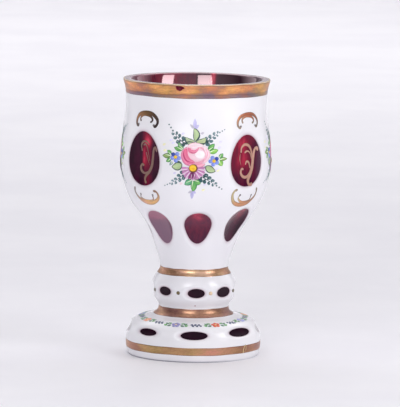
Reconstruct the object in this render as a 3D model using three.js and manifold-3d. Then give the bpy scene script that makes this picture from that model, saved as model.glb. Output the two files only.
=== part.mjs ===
// Footed vase of ruby glass under an opaque white overlay, cut through with a wheel so that the
// ruby shows in oval windows, with fired gilt bands over the joints between its gathers of glass.
// Millimetres, +Z up. The origin is the centre of the foot's flat ground base.
import * as THREE from 'three';
import { mergeVertices } from 'three/addons/utils/BufferGeometryUtils.js';
import Module from 'manifold-3d';

// Foot: a domed gather, hollow underneath, that ends at the lower waist
const FOOT_RADIUS = 34.15;
const BASE_INSET = 1.25;
const FOOT_SIDE_HEIGHT = 8.6;
const FOOT_HEIGHT = 24.6;
const LOWER_WAIST_RADIUS = 17.65;
const SHOULDER_FULLNESS = 15.8;
const SHOULDER_SWEEP = 8.5;
const BASE_ROUNDING = 1.2;

// Knop: the ball between the two waists
const KNOP_RADIUS = 21.4;
const KNOP_HEIGHT = 19.7;
const KNOP_RISE = 9.6;
const KNOP_FULLNESS = 5.9;
const KNOP_TUCK = 2.4;
const UPPER_WAIST_RADIUS = 17.2;

// Bowl: a flared cup, a belly, a drawn-in neck and a lip turned slightly out
const CUP_HEIGHT = 21.7;
const CUP_RADIUS = 25.3;
const CUP_FLARE_DEGREES = 33.8;
const CUP_TUCK = 2.8;
const CUP_SWEEP = 8.4;
const BELLY_HEIGHT = 55.7;
const BELLY_RADIUS = 37.9;
const BELLY_FULLNESS = 14.0;
const BELLY_SHOULDER = 10.4;
const NECK_HEIGHT = 82.7;
const NECK_INSET = 2.3;
const NECK_DRAW = 6.9;
const LIP_HEIGHT = 95.7;
const LIP_INSET = 0.7;
const LIP_TURN = 1.1;
const LIP_RISE = 4.1;
const LIP_SWEEP = 9.8;
const LIP_ROUNDING = 1.1;

// Layers of glass, the gilding and the clearances between them
const OVERLAY = 0.75;
const LAYER_GAP = 0.1;
const BOWL_WALL = 3.9;
const FOOT_WALL = 4.2;
const FOOT_DOME_CROWN = 5.5;
const FOOT_DOME_FULLNESS = 13.0;
const FOOT_DOME_SPREAD = 16.7;
const BOWL_FLOOR = 7.5;
const BOWL_FLOOR_ROUNDING = 7.0;
const BOWL_FLOOR_SPREAD = 8.7;
const GILT = 0.3;
const SEAT_GAP = 0.1;

// Gilt bands: how far each reaches below and above the joint or edge that it covers
const UPPER_BAND_BELOW = 1.5;
const UPPER_BAND_ABOVE = 1.6;
const LOWER_BAND_BELOW = 1.9;
const LOWER_BAND_ABOVE = 2.0;
const UPPER_JOINT_DROP = 1.0;
const LOWER_JOINT_DROP = 1.8;
const FOOT_BAND_BOTTOM = 3.6;
const FOOT_BAND_WIDTH = 3.9;
const RIM_BAND_WIDTH = 7.1;
const RIM_BAND_INSET = 0.4;
const RIM_BEAD_WIDTH = 1.9;
const RIM_BEAD_STEP = 0.15;

// Wheel cuts. Each is a hollow of the wheel's own radius, sunk below the outer surface at its
// middle, and drawn straight across, so that the round glass gives it an oval outline. The
// reach and breadth are how far the wheel is drawn past the middle, and the clearance is how
// far its body stands out of the glass at the ends of its reach. A cut's middle rises from the
// bottom of its own gather.
const WINDOW = {
  gather: 'bowl', rise: 55.6, count: 4, turn: 44.5, depth: 2.33,
  wheel: 256, tilt: 0, reach: 18, breadth: 17, steps: 4,
};
const CUP_CUT = {
  gather: 'bowl', rise: 24.9, count: 8, turn: 4, depth: 1.43,
  wheel: 43.9, tilt: -1.2, reach: 18, breadth: 14, steps: 6,
};
const KNOP_CUT = {
  gather: 'knop', rise: 8.7, count: 8, turn: 1, depth: 1.17,
  wheel: 15.9, tilt: 0, reach: 6, breadth: 11, steps: 5,
};
const FOOT_CUT = {
  gather: 'foot', rise: 14.17, count: 8, turn: 0, depth: 1.46,
  wheel: 5.8, tilt: 0, reach: 4.5, breadth: 14, steps: 6,
};
const WHEEL_CLEARANCE = 4;

// Raised gilt dots between the knop's cuts
const DOT_RADIUS = 0.9;
const DOT_HEIGHT = 0.45;
const DOT_GAP = 0.15;

// How finely the round forms are faceted
const SEGMENTS = 32;
const STEPS = { side: 2, shoulder: 8, knop: 4, cup: 4, belly: 4, neck: 3, lip: 2, floor: 4, dome: 6 };
const LEAST_STEP = 0.05;
const DOT_SIDES = 10;
const DOT_RINGS = 2;

const upperWaist = FOOT_HEIGHT + KNOP_HEIGHT;
const gatherBottom = { foot: 0, knop: FOOT_HEIGHT, bowl: upperWaist };
const lowerJoint = FOOT_HEIGHT - LOWER_JOINT_DROP;
const upperJoint = upperWaist - UPPER_JOINT_DROP;
const lipTop = upperWaist + LIP_HEIGHT;
const layer = OVERLAY + LAYER_GAP;
const groove = GILT + SEAT_GAP;

const manifold = await Module();
manifold.setup();

const point = (radius, height) => new THREE.Vector2(radius, height);

// The vase's outer outline from base to lip: curves that stand upright at each waist and swelling
function outlineCurves() {
  const base = point(FOOT_RADIUS - BASE_INSET, 0);
  const side = point(FOOT_RADIUS, FOOT_SIDE_HEIGHT);
  const waist = point(LOWER_WAIST_RADIUS, FOOT_HEIGHT);
  const knop = point(KNOP_RADIUS, FOOT_HEIGHT + KNOP_RISE);
  const collar = point(UPPER_WAIST_RADIUS, upperWaist);
  const cup = point(CUP_RADIUS, upperWaist + CUP_HEIGHT);
  const belly = point(BELLY_RADIUS, upperWaist + BELLY_HEIGHT);
  const neck = point(BELLY_RADIUS - NECK_INSET, upperWaist + NECK_HEIGHT);
  const lip = point(BELLY_RADIUS - LIP_INSET, lipTop);
  const lipInset = point(lip.x - LIP_TURN, lipTop - LIP_RISE);
  const flare = THREE.MathUtils.degToRad(CUP_FLARE_DEGREES);
  const slope = point(Math.sin(flare), Math.cos(flare));
  const up = (from, rise) => point(from.x, from.y + rise);
  const along = (from, rise) => from.clone().addScaledVector(slope, rise);
  const curve = (a, b, c, d, steps) => ({ path: new THREE.CubicBezierCurve(a, b, c, d), steps });
  return [
    curve(base, point(FOOT_RADIUS, BASE_ROUNDING), up(side, -BASE_ROUNDING), side, STEPS.side),
    curve(side, up(side, SHOULDER_FULLNESS), up(waist, -SHOULDER_SWEEP), waist, STEPS.shoulder),
    curve(waist, up(waist, KNOP_TUCK), up(knop, -KNOP_FULLNESS), knop, STEPS.knop),
    curve(knop, up(knop, KNOP_FULLNESS), up(collar, -KNOP_TUCK), collar, STEPS.knop),
    curve(collar, up(collar, CUP_TUCK), along(cup, -CUP_SWEEP), cup, STEPS.cup),
    curve(cup, along(cup, BELLY_FULLNESS), up(belly, -BELLY_FULLNESS), belly, STEPS.belly),
    curve(belly, up(belly, BELLY_SHOULDER), up(neck, -NECK_DRAW), neck, STEPS.neck),
    curve(neck, up(neck, LIP_SWEEP), lipInset, lip, STEPS.lip),
  ];
}

// Points of the outline with their outward normals, at even steps of each curve
function sampleOutline() {
  const samples = [];
  for (const { path, steps } of outlineCurves()) {
    for (let i = samples.length ? 1 : 0; i <= steps; i++) {
      const tangent = path.getTangent(i / steps);
      samples.push({ at: path.getPoint(i / steps), normal: point(tangent.y, -tangent.x) });
    }
  }
  return samples;
}

const outline = sampleOutline();

// The part of the outline between two heights, moved inwards by a depth along its normals
function layerBetween(low, high, depth) {
  const moved = outline.map(({ at, normal }) => at.clone().addScaledVector(normal, -depth));
  const crossing = (height) => {
    const next = moved.findIndex((p) => p.y >= height);
    if (next <= 0) return point(moved[next < 0 ? moved.length - 1 : 0].x, height);
    const share = (height - moved[next - 1].y) / (moved[next].y - moved[next - 1].y);
    return moved[next - 1].clone().lerp(moved[next], share);
  };
  const inside = moved.filter((p) => p.y > low + LEAST_STEP && p.y < high - LEAST_STEP);
  return [crossing(low), ...inside, crossing(high)];
}

// A seat between two heights for a band of gilding, as the outline's layers see it
const seat = (low, high) => ({ low: low - SEAT_GAP, high: high + SEAT_GAP });
const rimSeat = { low: lipTop - RIM_BAND_WIDTH - SEAT_GAP, high: lipTop };
const upperSeat = seat(upperJoint - UPPER_BAND_BELOW, upperJoint + UPPER_BAND_ABOVE);
const lowerSeat = seat(lowerJoint - LOWER_BAND_BELOW, lowerJoint + LOWER_BAND_ABOVE);
const footSeat = seat(FOOT_BAND_BOTTOM, FOOT_BAND_BOTTOM + FOOT_BAND_WIDTH);

// The overlay's outer face between two heights, stepped in by the groove at each seat it crosses
function seatedFace(low, high, seats) {
  const face = [];
  let from = low;
  for (const { low: a, high: b } of seats) {
    if (a > from) face.push(...layerBetween(from, a, 0));
    face.push(...layerBetween(Math.max(a, low), Math.min(b, high), groove));
    from = b;
  }
  if (from < high) face.push(...layerBetween(from, high, 0));
  return face;
}

// Turns a profile of radius and height about the axis; a ring's profile closes on itself
function revolve(profile, closed) {
  const points = closed ? [...profile, profile[0].clone()] : profile;
  return weld(new THREE.LatheGeometry(points, SEGMENTS).rotateX(Math.PI / 2));
}

// Shares the vertices of a geometry and leaves out the triangles that collapse at the axis
function weld(source) {
  source.deleteAttribute('normal');
  source.deleteAttribute('uv');
  const merged = mergeVertices(source, 1e-4);
  const index = merged.index.array;
  const kept = [];
  for (let i = 0; i < index.length; i += 3) {
    const [a, b, c] = [index[i], index[i + 1], index[i + 2]];
    if (a !== b && b !== c && c !== a) kept.push(a, b, c);
  }
  merged.setIndex(kept);
  return merged;
}

function solidOf(geometry) {
  return new manifold.Manifold(new manifold.Mesh({
    numProp: 3,
    vertProperties: new Float32Array(geometry.attributes.position.array),
    triVerts: new Uint32Array(geometry.index.array),
  }));
}

function geometryOf(solid) {
  const mesh = solid.getMesh();
  const geometry = new THREE.BufferGeometry();
  geometry.setAttribute('position', new THREE.BufferAttribute(mesh.vertProperties, 3));
  geometry.setIndex(new THREE.BufferAttribute(mesh.triVerts, 1));
  geometry.computeVertexNormals();
  return geometry;
}

// The outline's point and normal at a height, for what is cut into it or stands on it
function surfaceAt(height) {
  const next = outline.findIndex(({ at }) => at.y >= height);
  const [below, above] = [outline[next - 1], outline[next]];
  const share = (height - below.at.y) / (above.at.y - below.at.y);
  return {
    at: below.at.clone().lerp(above.at, share),
    normal: below.normal.clone().lerp(above.normal, share).normalize(),
  };
}

// Stands a geometry built along +X and +Y on the glass at a turn about the axis, with its X
// along the outward normal and its Y up the outline
function placeOnGlass(geometry, height, turn, sink) {
  const { at, normal } = surfaceAt(height);
  const radial = at.x - normal.x * sink;
  const rise = at.y - normal.y * sink;
  const out = new THREE.Vector3(normal.x, 0, normal.y);
  const across = new THREE.Vector3(0, -1, 0);
  const along = new THREE.Vector3(-normal.y, 0, normal.x);
  const basis = new THREE.Matrix4().makeBasis(out, along, across);
  geometry.applyMatrix4(basis);
  geometry.translate(radial, 0, rise);
  geometry.rotateZ(THREE.MathUtils.degToRad(turn - 90));
  return geometry;
}

// The swept edge of the grinding wheel: an arc of the wheel's radius, drawn straight across
function wheelSweep({ wheel, tilt, reach, breadth, steps }) {
  const halfAngle = Math.asin(Math.min(1, reach / wheel));
  const clearOut = wheel * (1 - Math.cos(halfAngle)) + WHEEL_CLEARANCE;
  const profile = new THREE.Shape();
  for (let i = 0; i <= steps; i++) {
    const angle = halfAngle * (2 * i / steps - 1);
    const x = wheel * (1 - Math.cos(angle));
    const y = wheel * Math.sin(angle);
    if (i === 0) profile.moveTo(x, y);
    else profile.lineTo(x, y);
  }
  profile.lineTo(clearOut, wheel * Math.sin(halfAngle));
  profile.lineTo(clearOut, -wheel * Math.sin(halfAngle));
  profile.closePath();
  const sweep = new THREE.ExtrudeGeometry(profile, { depth: 2 * breadth, bevelEnabled: false });
  return sweep.translate(0, 0, -breadth).rotateZ(THREE.MathUtils.degToRad(tilt));
}

const middleOf = (cut) => gatherBottom[cut.gather] + cut.rise;

// Cuts one family of windows, evenly spaced about the axis, out of a solid
function wheelCut(solid, cut) {
  let result = solid;
  for (let i = 0; i < cut.count; i++) {
    const turn = cut.turn + i * 360 / cut.count;
    const cutter = weld(placeOnGlass(wheelSweep(cut), middleOf(cut), turn, cut.depth));
    result = result.subtract(solidOf(cutter));
  }
  return result;
}

function cutGeometry(geometry, cuts) {
  return geometryOf(cuts.reduce((solid, cut) => wheelCut(solid, cut), solidOf(geometry)));
}

const reversed = (points) => [...points].reverse();

// The bowl's cavity from the lip down to the rounded floor, ending on the axis
function cavityProfile() {
  const wall = layer + BOWL_WALL;
  const floor = upperJoint + BOWL_FLOOR;
  const wallPoints = layerBetween(floor + BOWL_FLOOR_ROUNDING, lipTop - LIP_ROUNDING, wall);
  const start = wallPoints[0];
  const bottom = new THREE.QuadraticBezierCurve(
    point(BOWL_FLOOR_SPREAD, floor), point(start.x, floor), start,
  ).getPoints(STEPS.floor);
  return [point(0, floor), ...bottom.slice(0, -1), ...wallPoints];
}

function rubyBowl() {
  const outer = layerBetween(upperJoint, lipTop, layer);
  const inner = cavityProfile();
  const lipInside = inner[inner.length - 1];
  const lipEdge = point(lipInside.x + LIP_ROUNDING, lipTop);
  const profile = [point(0, upperJoint), ...outer, lipEdge, ...reversed(inner)];
  return cutGeometry(revolve(profile, false), [WINDOW, CUP_CUT]);
}

function rubyKnop() {
  const outer = layerBetween(lowerJoint, upperJoint, layer);
  const profile = [point(0, lowerJoint), ...outer, point(0, upperJoint)];
  return cutGeometry(revolve(profile, false), [KNOP_CUT]);
}

function rubyFoot() {
  const outer = layerBetween(0, lowerJoint, layer);
  const crown = lowerJoint - FOOT_DOME_CROWN;
  const rimInside = outer[0].x - FOOT_WALL;
  const dome = new THREE.CubicBezierCurve(
    point(0, crown), point(FOOT_DOME_SPREAD, crown), point(rimInside, FOOT_DOME_FULLNESS),
    point(rimInside, 0),
  ).getPoints(STEPS.dome);
  const profile = [...dome, ...outer, point(0, lowerJoint)];
  return cutGeometry(revolve(profile, false), [FOOT_CUT]);
}

// A shell of the overlay between two heights, seated on the ruby glass with the layer gap
function casing(low, high, seats, cuts) {
  const profile = [...seatedFace(low, high, seats), ...reversed(layerBetween(low, high, OVERLAY))];
  return cutGeometry(revolve(profile, true), cuts);
}

// A band of gilding flush with the glass around it
function giltBand({ low, high }) {
  const [bottom, top] = [low + SEAT_GAP, high - SEAT_GAP];
  const outside = layerBetween(bottom, top, 0);
  const inside = layerBetween(bottom, top, GILT);
  return revolve([...outside, ...reversed(inside)], true);
}

// The rim's band has a narrower bead below its main face, stepped in a little
function rimBand() {
  const bottom = rimSeat.low + SEAT_GAP;
  const step = bottom + RIM_BEAD_WIDTH;
  const top = lipTop - RIM_BAND_INSET;
  const bead = layerBetween(bottom, step, RIM_BEAD_STEP);
  const face = layerBetween(step, top, 0);
  const inside = layerBetween(bottom, top, GILT);
  return revolve([...bead, ...face, ...reversed(inside)], true);
}

// A flattened drop of gilding, fired on to the glass between two cuts
function giltDot(turn) {
  const profile = [point(0, 0)];
  for (let i = 0; i <= DOT_RINGS; i++) {
    const angle = i / DOT_RINGS * Math.PI / 2;
    profile.push(point(DOT_RADIUS * Math.cos(angle), DOT_HEIGHT * Math.sin(angle)));
  }
  const dome = new THREE.LatheGeometry(profile, DOT_SIDES).rotateZ(-Math.PI / 2);
  return weld(placeOnGlass(dome, middleOf(KNOP_CUT), turn, -DOT_GAP));
}

const RUBY = { color: 0x6a0c22, roughness: 0.06, metalness: 0 };
const MILK = { color: 0xf0ecf3, roughness: 0.18, metalness: 0 };
const GOLD = { color: 0xc08a55, roughness: 0.32, metalness: 0.9 };

const vase = new THREE.Group();

function add(name, geometry, finish) {
  const mesh = new THREE.Mesh(geometry, new THREE.MeshStandardMaterial(finish));
  mesh.name = name;
  vase.add(mesh);
}

add('ruby_foot', rubyFoot(), RUBY);
add('ruby_knop', rubyKnop(), RUBY);
add('ruby_bowl', rubyBowl(), RUBY);
add('milk_foot_casing', casing(0, lowerJoint, [footSeat, lowerSeat], [FOOT_CUT]), MILK);
add('milk_knop_casing', casing(lowerJoint, upperJoint, [lowerSeat, upperSeat], [KNOP_CUT]), MILK);
add('milk_bowl_casing', casing(upperJoint, lipTop, [upperSeat, rimSeat], [WINDOW, CUP_CUT]), MILK);
add('foot_gilt_band', giltBand(footSeat), GOLD);
add('lower_waist_gilt_band', giltBand(lowerSeat), GOLD);
add('upper_waist_gilt_band', giltBand(upperSeat), GOLD);
add('rim_gilt_band', rimBand(), GOLD);
for (let i = 0; i < KNOP_CUT.count; i++) {
  const turn = KNOP_CUT.turn + (i + 0.5) * 360 / KNOP_CUT.count;
  add(`knop_gilt_dot_${i + 1}`, giltDot(turn), GOLD);
}

export default vase;
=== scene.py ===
"""Footed vase of ruby glass under a white overlay, wheel-cut, gilded and painted in enamel.

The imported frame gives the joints, the heights and the widths. The glass, the gilding and the
painting are built here as closed surfaces over one outline, in millimetres, and are put into
their meshes in metres.
"""

import logging
import math
from dataclasses import dataclass, field
from enum import Enum
from itertools import pairwise
from typing import Callable, Sequence

import bpy
import numpy as np
from mathutils import Matrix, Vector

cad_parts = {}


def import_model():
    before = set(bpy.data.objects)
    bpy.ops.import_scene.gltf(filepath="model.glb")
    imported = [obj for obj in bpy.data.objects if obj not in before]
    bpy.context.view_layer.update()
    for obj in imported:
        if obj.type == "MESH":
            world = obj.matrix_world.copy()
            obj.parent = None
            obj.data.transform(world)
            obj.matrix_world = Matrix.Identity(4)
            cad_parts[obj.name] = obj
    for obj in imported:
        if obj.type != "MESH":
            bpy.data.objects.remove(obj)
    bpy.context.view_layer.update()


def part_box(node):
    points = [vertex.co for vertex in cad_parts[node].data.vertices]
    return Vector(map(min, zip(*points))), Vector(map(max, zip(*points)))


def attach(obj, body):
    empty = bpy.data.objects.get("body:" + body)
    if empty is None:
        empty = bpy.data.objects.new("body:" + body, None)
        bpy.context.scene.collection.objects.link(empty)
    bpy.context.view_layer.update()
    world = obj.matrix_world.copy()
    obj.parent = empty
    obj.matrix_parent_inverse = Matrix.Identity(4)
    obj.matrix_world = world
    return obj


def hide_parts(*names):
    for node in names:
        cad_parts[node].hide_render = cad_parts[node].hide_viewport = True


log = logging.getLogger("vase")

Array = np.ndarray
Field = Callable[[Array, Array], Array]
Point = tuple[float, float]
Wave = tuple[float, float, float]
Inks = tuple[str, ...]
Colour = str | Sequence[float]

TAU = 2.0 * math.pi
MM = 0.001  # metres; all lengths but the studio's are in millimetres
COLUMNS = 320  # columns of a lattice round the axis
TURNS = np.arange(COLUMNS) * TAU / COLUMNS  # and their turns
ROW = 0.8  # widest spacing of a lattice's rows
FINE_ROW = 0.25  # the same on the gilt bands
OVERLAY = 0.75  # thickness of the white overlay
CORE = 0.77  # depth of the ruby's skin where nothing is cut
STRAIGHT = 1e6  # crown of a grinding wheel whose rim runs straight across


def linear(code: str) -> tuple[float, float, float]:
    """Turns a six-digit colour code into linear red, green and blue.

    Args:
        code: Two hexadecimal digits for each of red, green and blue.

    Returns:
        The three linear values.
    """
    shares = (int(code[i : i + 2], 16) / 255.0 for i in (0, 2, 4))
    return tuple(c / 12.92 if c <= 0.04045 else ((c + 0.055) / 1.055) ** 2.4 for c in shares)


def rgba(colour: Colour) -> tuple[float, float, float, float]:
    """Completes a colour code, or linear red, green and blue, to an opaque linear colour."""
    return (*(linear(colour) if isinstance(colour, str) else colour), 1.0)


# --- Shader expressions


class Sock:
    """A shader socket whose operators add the nodes of an expression."""

    def __init__(self, graph: "Graph", socket: bpy.types.NodeSocket) -> None:
        """Wraps a socket of a graph's node."""
        self.graph = graph
        self.socket = socket

    def __add__(self, other: "Sock | float") -> "Sock":
        """Adds."""
        return self.graph.apply("ADD", self, other)

    def __sub__(self, other: "Sock | float") -> "Sock":
        """Subtracts."""
        return self.graph.apply("SUBTRACT", self, other)

    def __rsub__(self, other: float) -> "Sock":
        """Subtracts from a number."""
        return self.graph.apply("SUBTRACT", other, self)

    def __mul__(self, other: "Sock | float") -> "Sock":
        """Multiplies."""
        return self.graph.apply("MULTIPLY", self, other)

    def __pow__(self, other: float) -> "Sock":
        """Raises to a power."""
        return self.graph.apply("POWER", self, other)

    __radd__ = __add__
    __rmul__ = __mul__

    def between(self, low: float, high: float) -> "Sock":
        """Rises smoothly from 0 at low to 1 at high."""
        return self.graph.node(
            "ShaderNodeMapRange",
            {"interpolation_type": "SMOOTHSTEP"},
            {"Value": self, "From Min": low, "From Max": high},
        )

    def ramp(self, stops: Sequence[tuple[float, Colour]]) -> "Sock":
        """Reads a colour ramp at this value.

        Args:
            stops: Places from 0 to 1 with their colours.

        Returns:
            The ramp's colour.
        """
        return self.graph.node("ShaderNodeValToRGB", {"stops": stops}, {"Fac": self})


class Graph:
    """One material's nodes, from expressions on sockets."""

    def __init__(self, name: str, owner: bpy.types.World | None = None) -> None:
        """Makes an empty material of that name, or empties an owner's nodes."""
        self.material = owner or bpy.data.materials.new(name)
        self.material.use_nodes = True
        self.tree = self.material.node_tree
        self.tree.nodes.clear()

    def node(
        self,
        kind: str,
        settings: dict[str, object] | None = None,
        inputs: dict[str | int, object] | None = None,
        output: str | int | None = 0,
    ) -> Sock | None:
        """Adds a node, its settings first and then its sockets.

        Args:
            kind: The node's type.
            settings: Its properties; stops fills a colour ramp.
            inputs: Values or links by socket name or number.
            output: Which output the result stands for; None for a node that has none.

        Returns:
            The wrapped output.
        """
        node = self.tree.nodes.new(kind)
        for key, value in (settings or {}).items():
            if key == "stops":
                self._fill_ramp(node.color_ramp, value)
            else:
                setattr(node, key, value)
        for key, value in (inputs or {}).items():
            if isinstance(value, Sock):
                self.tree.links.new(value.socket, node.inputs[key])
            else:
                node.inputs[key].default_value = value
        return None if output is None else Sock(self, node.outputs[output])

    @staticmethod
    def _fill_ramp(ramp: bpy.types.ColorRamp, stops: Sequence[tuple[float, Colour]]) -> None:
        """Puts the stops into a ramp that starts with two."""
        while len(ramp.elements) < len(stops):
            ramp.elements.new(0.5)
        for element, (place, colour) in zip(ramp.elements, stops):
            element.position = place
            element.color = rgba(colour)

    def apply(self, operation: str, a: "Sock | float", b: "Sock | float") -> Sock:
        """Works out one operation, as vectors where either side is a colour or a vector."""
        sides = [s for s in (a, b) if isinstance(s, Sock)]
        kind = "ShaderNodeMath"
        if any(s.socket.type in ("RGBA", "VECTOR") for s in sides):
            kind = "ShaderNodeVectorMath"
            a, b = (s if isinstance(s, (Sock, tuple)) else (s, s, s) for s in (a, b))
        return self.node(kind, {"operation": operation}, {0: a, 1: b})

    def blend(self, share: Sock, a: Sock | Colour, b: Sock | Colour) -> Sock:
        """Mixes two colours by a share.

        Args:
            share: 0 gives the first colour and 1 the second.
            a: The first colour or its socket.
            b: The second colour or its socket.

        Returns:
            The mixed colour.
        """
        a, b = (c if isinstance(c, Sock) else rgba(c) for c in (a, b))
        return self.node("ShaderNodeMix", {"data_type": "RGBA"}, {0: share, 6: a, 7: b}, output=2)

    def place(self, stretch: tuple[float, float, float] = (1.0, 1.0, 1.0)) -> Sock:
        """Gives Object coordinates in metres, stretched along each axis."""
        here = self.node("ShaderNodeTexCoord", output="Object")
        return self.node("ShaderNodeMapping", None, {"Vector": here, "Scale": stretch})

    def noise(self, place: Sock, size: float, detail: float = 3.0, roughness: float = 0.5) -> Sock:
        """Gives a noise value with features of a size in millimetres."""
        return self.node(
            "ShaderNodeTexNoise",
            None,
            {"Vector": place, "Scale": 1.0 / (size * MM), "Detail": detail, "Roughness": roughness},
        )

    def layer(self, name: str, output: str = "Fac") -> Sock:
        """Reads a piece's own attribute."""
        return self.node("ShaderNodeAttribute", {"attribute_name": name}, None, output)

    def bump(self, height: Sock, distance: float, strength: float = 1.0) -> Sock:
        """Turns a height into a normal; the distance is in millimetres."""
        return self.node(
            "ShaderNodeBump",
            None,
            {"Height": height, "Distance": distance * MM, "Strength": strength},
            "Normal",
        )

    def surface(self, inputs: dict[str, object]) -> bpy.types.Material:
        """Ends the graph in one surface shader and returns the material."""
        shader = self.node("ShaderNodeBsdfPrincipled", None, inputs)
        self.node("ShaderNodeOutputMaterial", None, {"Surface": shader}, None)
        return self.material


# --- Finishes


@dataclass(frozen=True)
class MilkGlass:
    """Opaque white overlay, glossy and faintly wavy, that thins to pink at the cuts."""

    white: str = "f6f5f9"
    shade: str = "eeedf2"
    thin: str = "b89aa9"
    lip: str = "dabd98"
    broken: str = "9c2a3a"
    # dark colour painted along the foot's ground edge as contact shadow
    ground: str = "5d5a70"

    def material(self) -> bpy.types.Material:
        """Builds the finish.

        The attribute thin is 1 where the overlay runs out, gilt where worn gold is left on the
        lip, broken where ruby shows in the chip and ground where a contact shadow is painted along
        the foot's ground edge.
        """
        g = Graph("white_overlay_glass")
        here = g.place()
        drift = g.noise(here, 38.0, 2.0).between(0.3, 0.7)
        body = g.blend(drift, self.shade, self.white)
        thin = g.layer("thin")
        veil = (thin**4.0) * 0.75 + thin * 0.1
        colour = g.blend(veil, body, self.thin)
        worn = (g.noise(here, 4.0, 3.0).between(0.2, 0.5) * 0.5 + 0.5) * g.layer("gilt")
        colour = g.blend(worn, colour, self.lip)
        colour = g.blend(g.layer("broken"), colour, self.broken)
        colour = g.blend(g.layer("ground"), colour, self.ground)
        wave = g.noise(here, 16.0, 1.0) + g.noise(here, 1.1, 2.0) * 0.02
        return g.surface(
            {
                "Base Color": colour,
                "Roughness": g.noise(here, 6.0, 3.0) * 0.08 + 0.12,
                "IOR": 1.5,
                "Normal": g.bump(wave, 0.35, 0.6),
            }
        )


@dataclass(frozen=True)
class RubyGlass:
    """Deep ruby glass with its light and shade painted into its colour: near black where painted
    dark, bright red where light is painted as coming through.
    """

    tones: Inks = ("210c1b", "47122e", "7b1a34", "b32c47", "e2506a")
    lip_and_reflection_wash: str = "8f7286"
    name: str = "ruby_glass"
    index: float = 1.25
    mirror: tuple[float, float, float] = (1.0, 0.9, 0.95)

    def material(self) -> bpy.types.Material:
        """Builds the finish; the attribute glow is painted light, and the wash attribute a painted
        reflection that also paints the lip's top paler.
        """
        g = Graph(self.name)
        streak = g.noise(g.place((1.0, 1.0, 0.22)), 2.0, 3.0, 0.6)
        drift = g.noise(g.place(), 7.0, 2.0)
        lit = g.layer("glow")
        # painted light, with upright streaks of light and a slow drift in it
        glow = lit + (streak - 0.5) * (lit * 0.85 + 0.08) + (drift - 0.5) * 0.2
        last = len(self.tones) - 1
        colour = glow.ramp([(k / last, tone) for k, tone in enumerate(self.tones)])
        # painted reflection, washing the colour towards pale mauve
        washed = g.blend(g.layer("lip_and_reflection_wash"), colour, self.lip_and_reflection_wash)
        wave = g.noise(g.place(), 12.0, 1.0)
        return g.surface(
            {
                "Base Color": washed,
                "Roughness": g.noise(g.place(), 3.0) * 0.05 + 0.03,
                "IOR": self.index,
                "Specular Tint": (*self.mirror, 1.0),
                "Normal": g.bump(wave, 0.25, 0.5),
            }
        )


@dataclass(frozen=True)
class FiredGilding:
    """Rubbed fired gold with mottled copper, bright rubbed streaks and grey tarnish.

    The tones are tarnish, copper, gold and rubbed gold, or none where each stroke has its own.
    """

    name: str
    tones: Inks = ()
    patch: float = 7.0
    metal: float = 0.78
    border: str = "5a4038"

    def material(self) -> bpy.types.Material:
        """Builds the finish.

        The attribute edge is 1 at a band's painted edges and up to 0.6 along the groove over its
        bead, where the border colour is a painted shadow, worn at its tarnished lower bead, the rub
        value more than 0 where it is rubbed bright, and where a highlight is painted, and less
        where it is dull, red more than 0 where it is redder and less where it is greener, and paint
        holds a stroke's own colour where the gilding is laid in strokes.
        """
        g = Graph(self.name)
        long = g.place((1.0, 1.0, 2.2))
        patches = g.noise(long, self.patch, 3.0, 0.45)
        fine = g.noise(long, 1.3, 4.0, 0.6)
        if self.tones:
            colour = self._banded(g, long, patches, fine)
        else:
            colour = g.layer("paint", "Color") * (0.7 + patches * 0.4 + fine * 0.2)
        lined = g.blend(g.layer("edge") * 0.7, colour, self.border)
        grain = g.noise(g.place(), 0.6, 3.0)
        return g.surface(
            {
                "Base Color": lined,
                "Metallic": self.metal - patches.between(0.5, 0.25) * 0.25,
                "Roughness": fine * 0.22 + 0.24,
                "Normal": g.bump(grain + patches * 1.5, 0.05, 0.6),
            }
        )

    def _banded(self, g: Graph, long: Sock, patches: Sock, fine: Sock) -> Sock:
        """Gives a band's colour, from its patches, its wear and painted highlights, its redness and
        the brush.
        """
        value = (patches - 0.5) * 1.1 + (fine - 0.5) * 0.5 + 0.52
        # rubbed places and painted highlights brighten the gold, the worn bead darkens it
        value = value + g.layer("rub_and_sheen") - g.layer("worn") * 0.34
        colour = value.ramp(list(zip((0.1, 0.4, 0.62, 0.9), self.tones)))
        red = (g.layer("red") + (g.noise(long, self.patch * 0.6, 2.0) - 0.5) * 1.6) * 0.5 + 0.5
        brushed = g.noise(g.place((0.4, 0.4, 5.0)), 1.8, 3.0)
        tint = g.blend(red.between(0.0, 1.0), (0.97, 1.05, 0.8), (1.05, 0.86, 0.98))
        return colour * tint * (0.72 + brushed * 0.56)


@dataclass(frozen=True)
class EnamelPaint:
    """Fired enamel colours with the streaks of the brush."""

    def material(self) -> bpy.types.Material:
        """Builds the finish; the attribute paint holds each stroke's colour."""
        g = Graph("painted_enamel")
        here = g.place()
        paint = g.layer("paint", "Color")
        streak = g.noise(here, 0.7, 3.0, 0.6)
        pool = g.noise(here, 2.4, 2.0)
        shade = 0.8 + streak * 0.22 + pool * 0.18
        return g.surface(
            {
                "Base Color": paint * shade,
                "Roughness": streak * 0.2 + 0.25,
                "IOR": 1.45,
                "Normal": g.bump(streak, 0.06, 0.7),
            }
        )


@dataclass(frozen=True)
class SweepPaper:
    """The studio's pale sweep, with faint smudges."""

    paper: str = "f6f5f9"
    smudge: str = "f1f0f5"

    def material(self) -> bpy.types.Material:
        """Builds the finish."""
        g = Graph("studio_sweep")
        here = g.place()
        cloud = g.noise(here, 160.0, 4.0, 0.6).between(0.35, 0.65)
        colour = g.blend(cloud, self.smudge, self.paper)
        sheen = g.noise(here, 70.0) * 0.12 + 0.34
        return g.surface({"Base Color": colour, "Roughness": sheen, "IOR": 1.35})


# --- Curves


def hill(value: Array, middle: float, spread: float) -> Array:
    """Gives a bell curve exp(-((x - m) / s)^2)."""
    return np.exp(-(((value - middle) / spread) ** 2))


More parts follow.
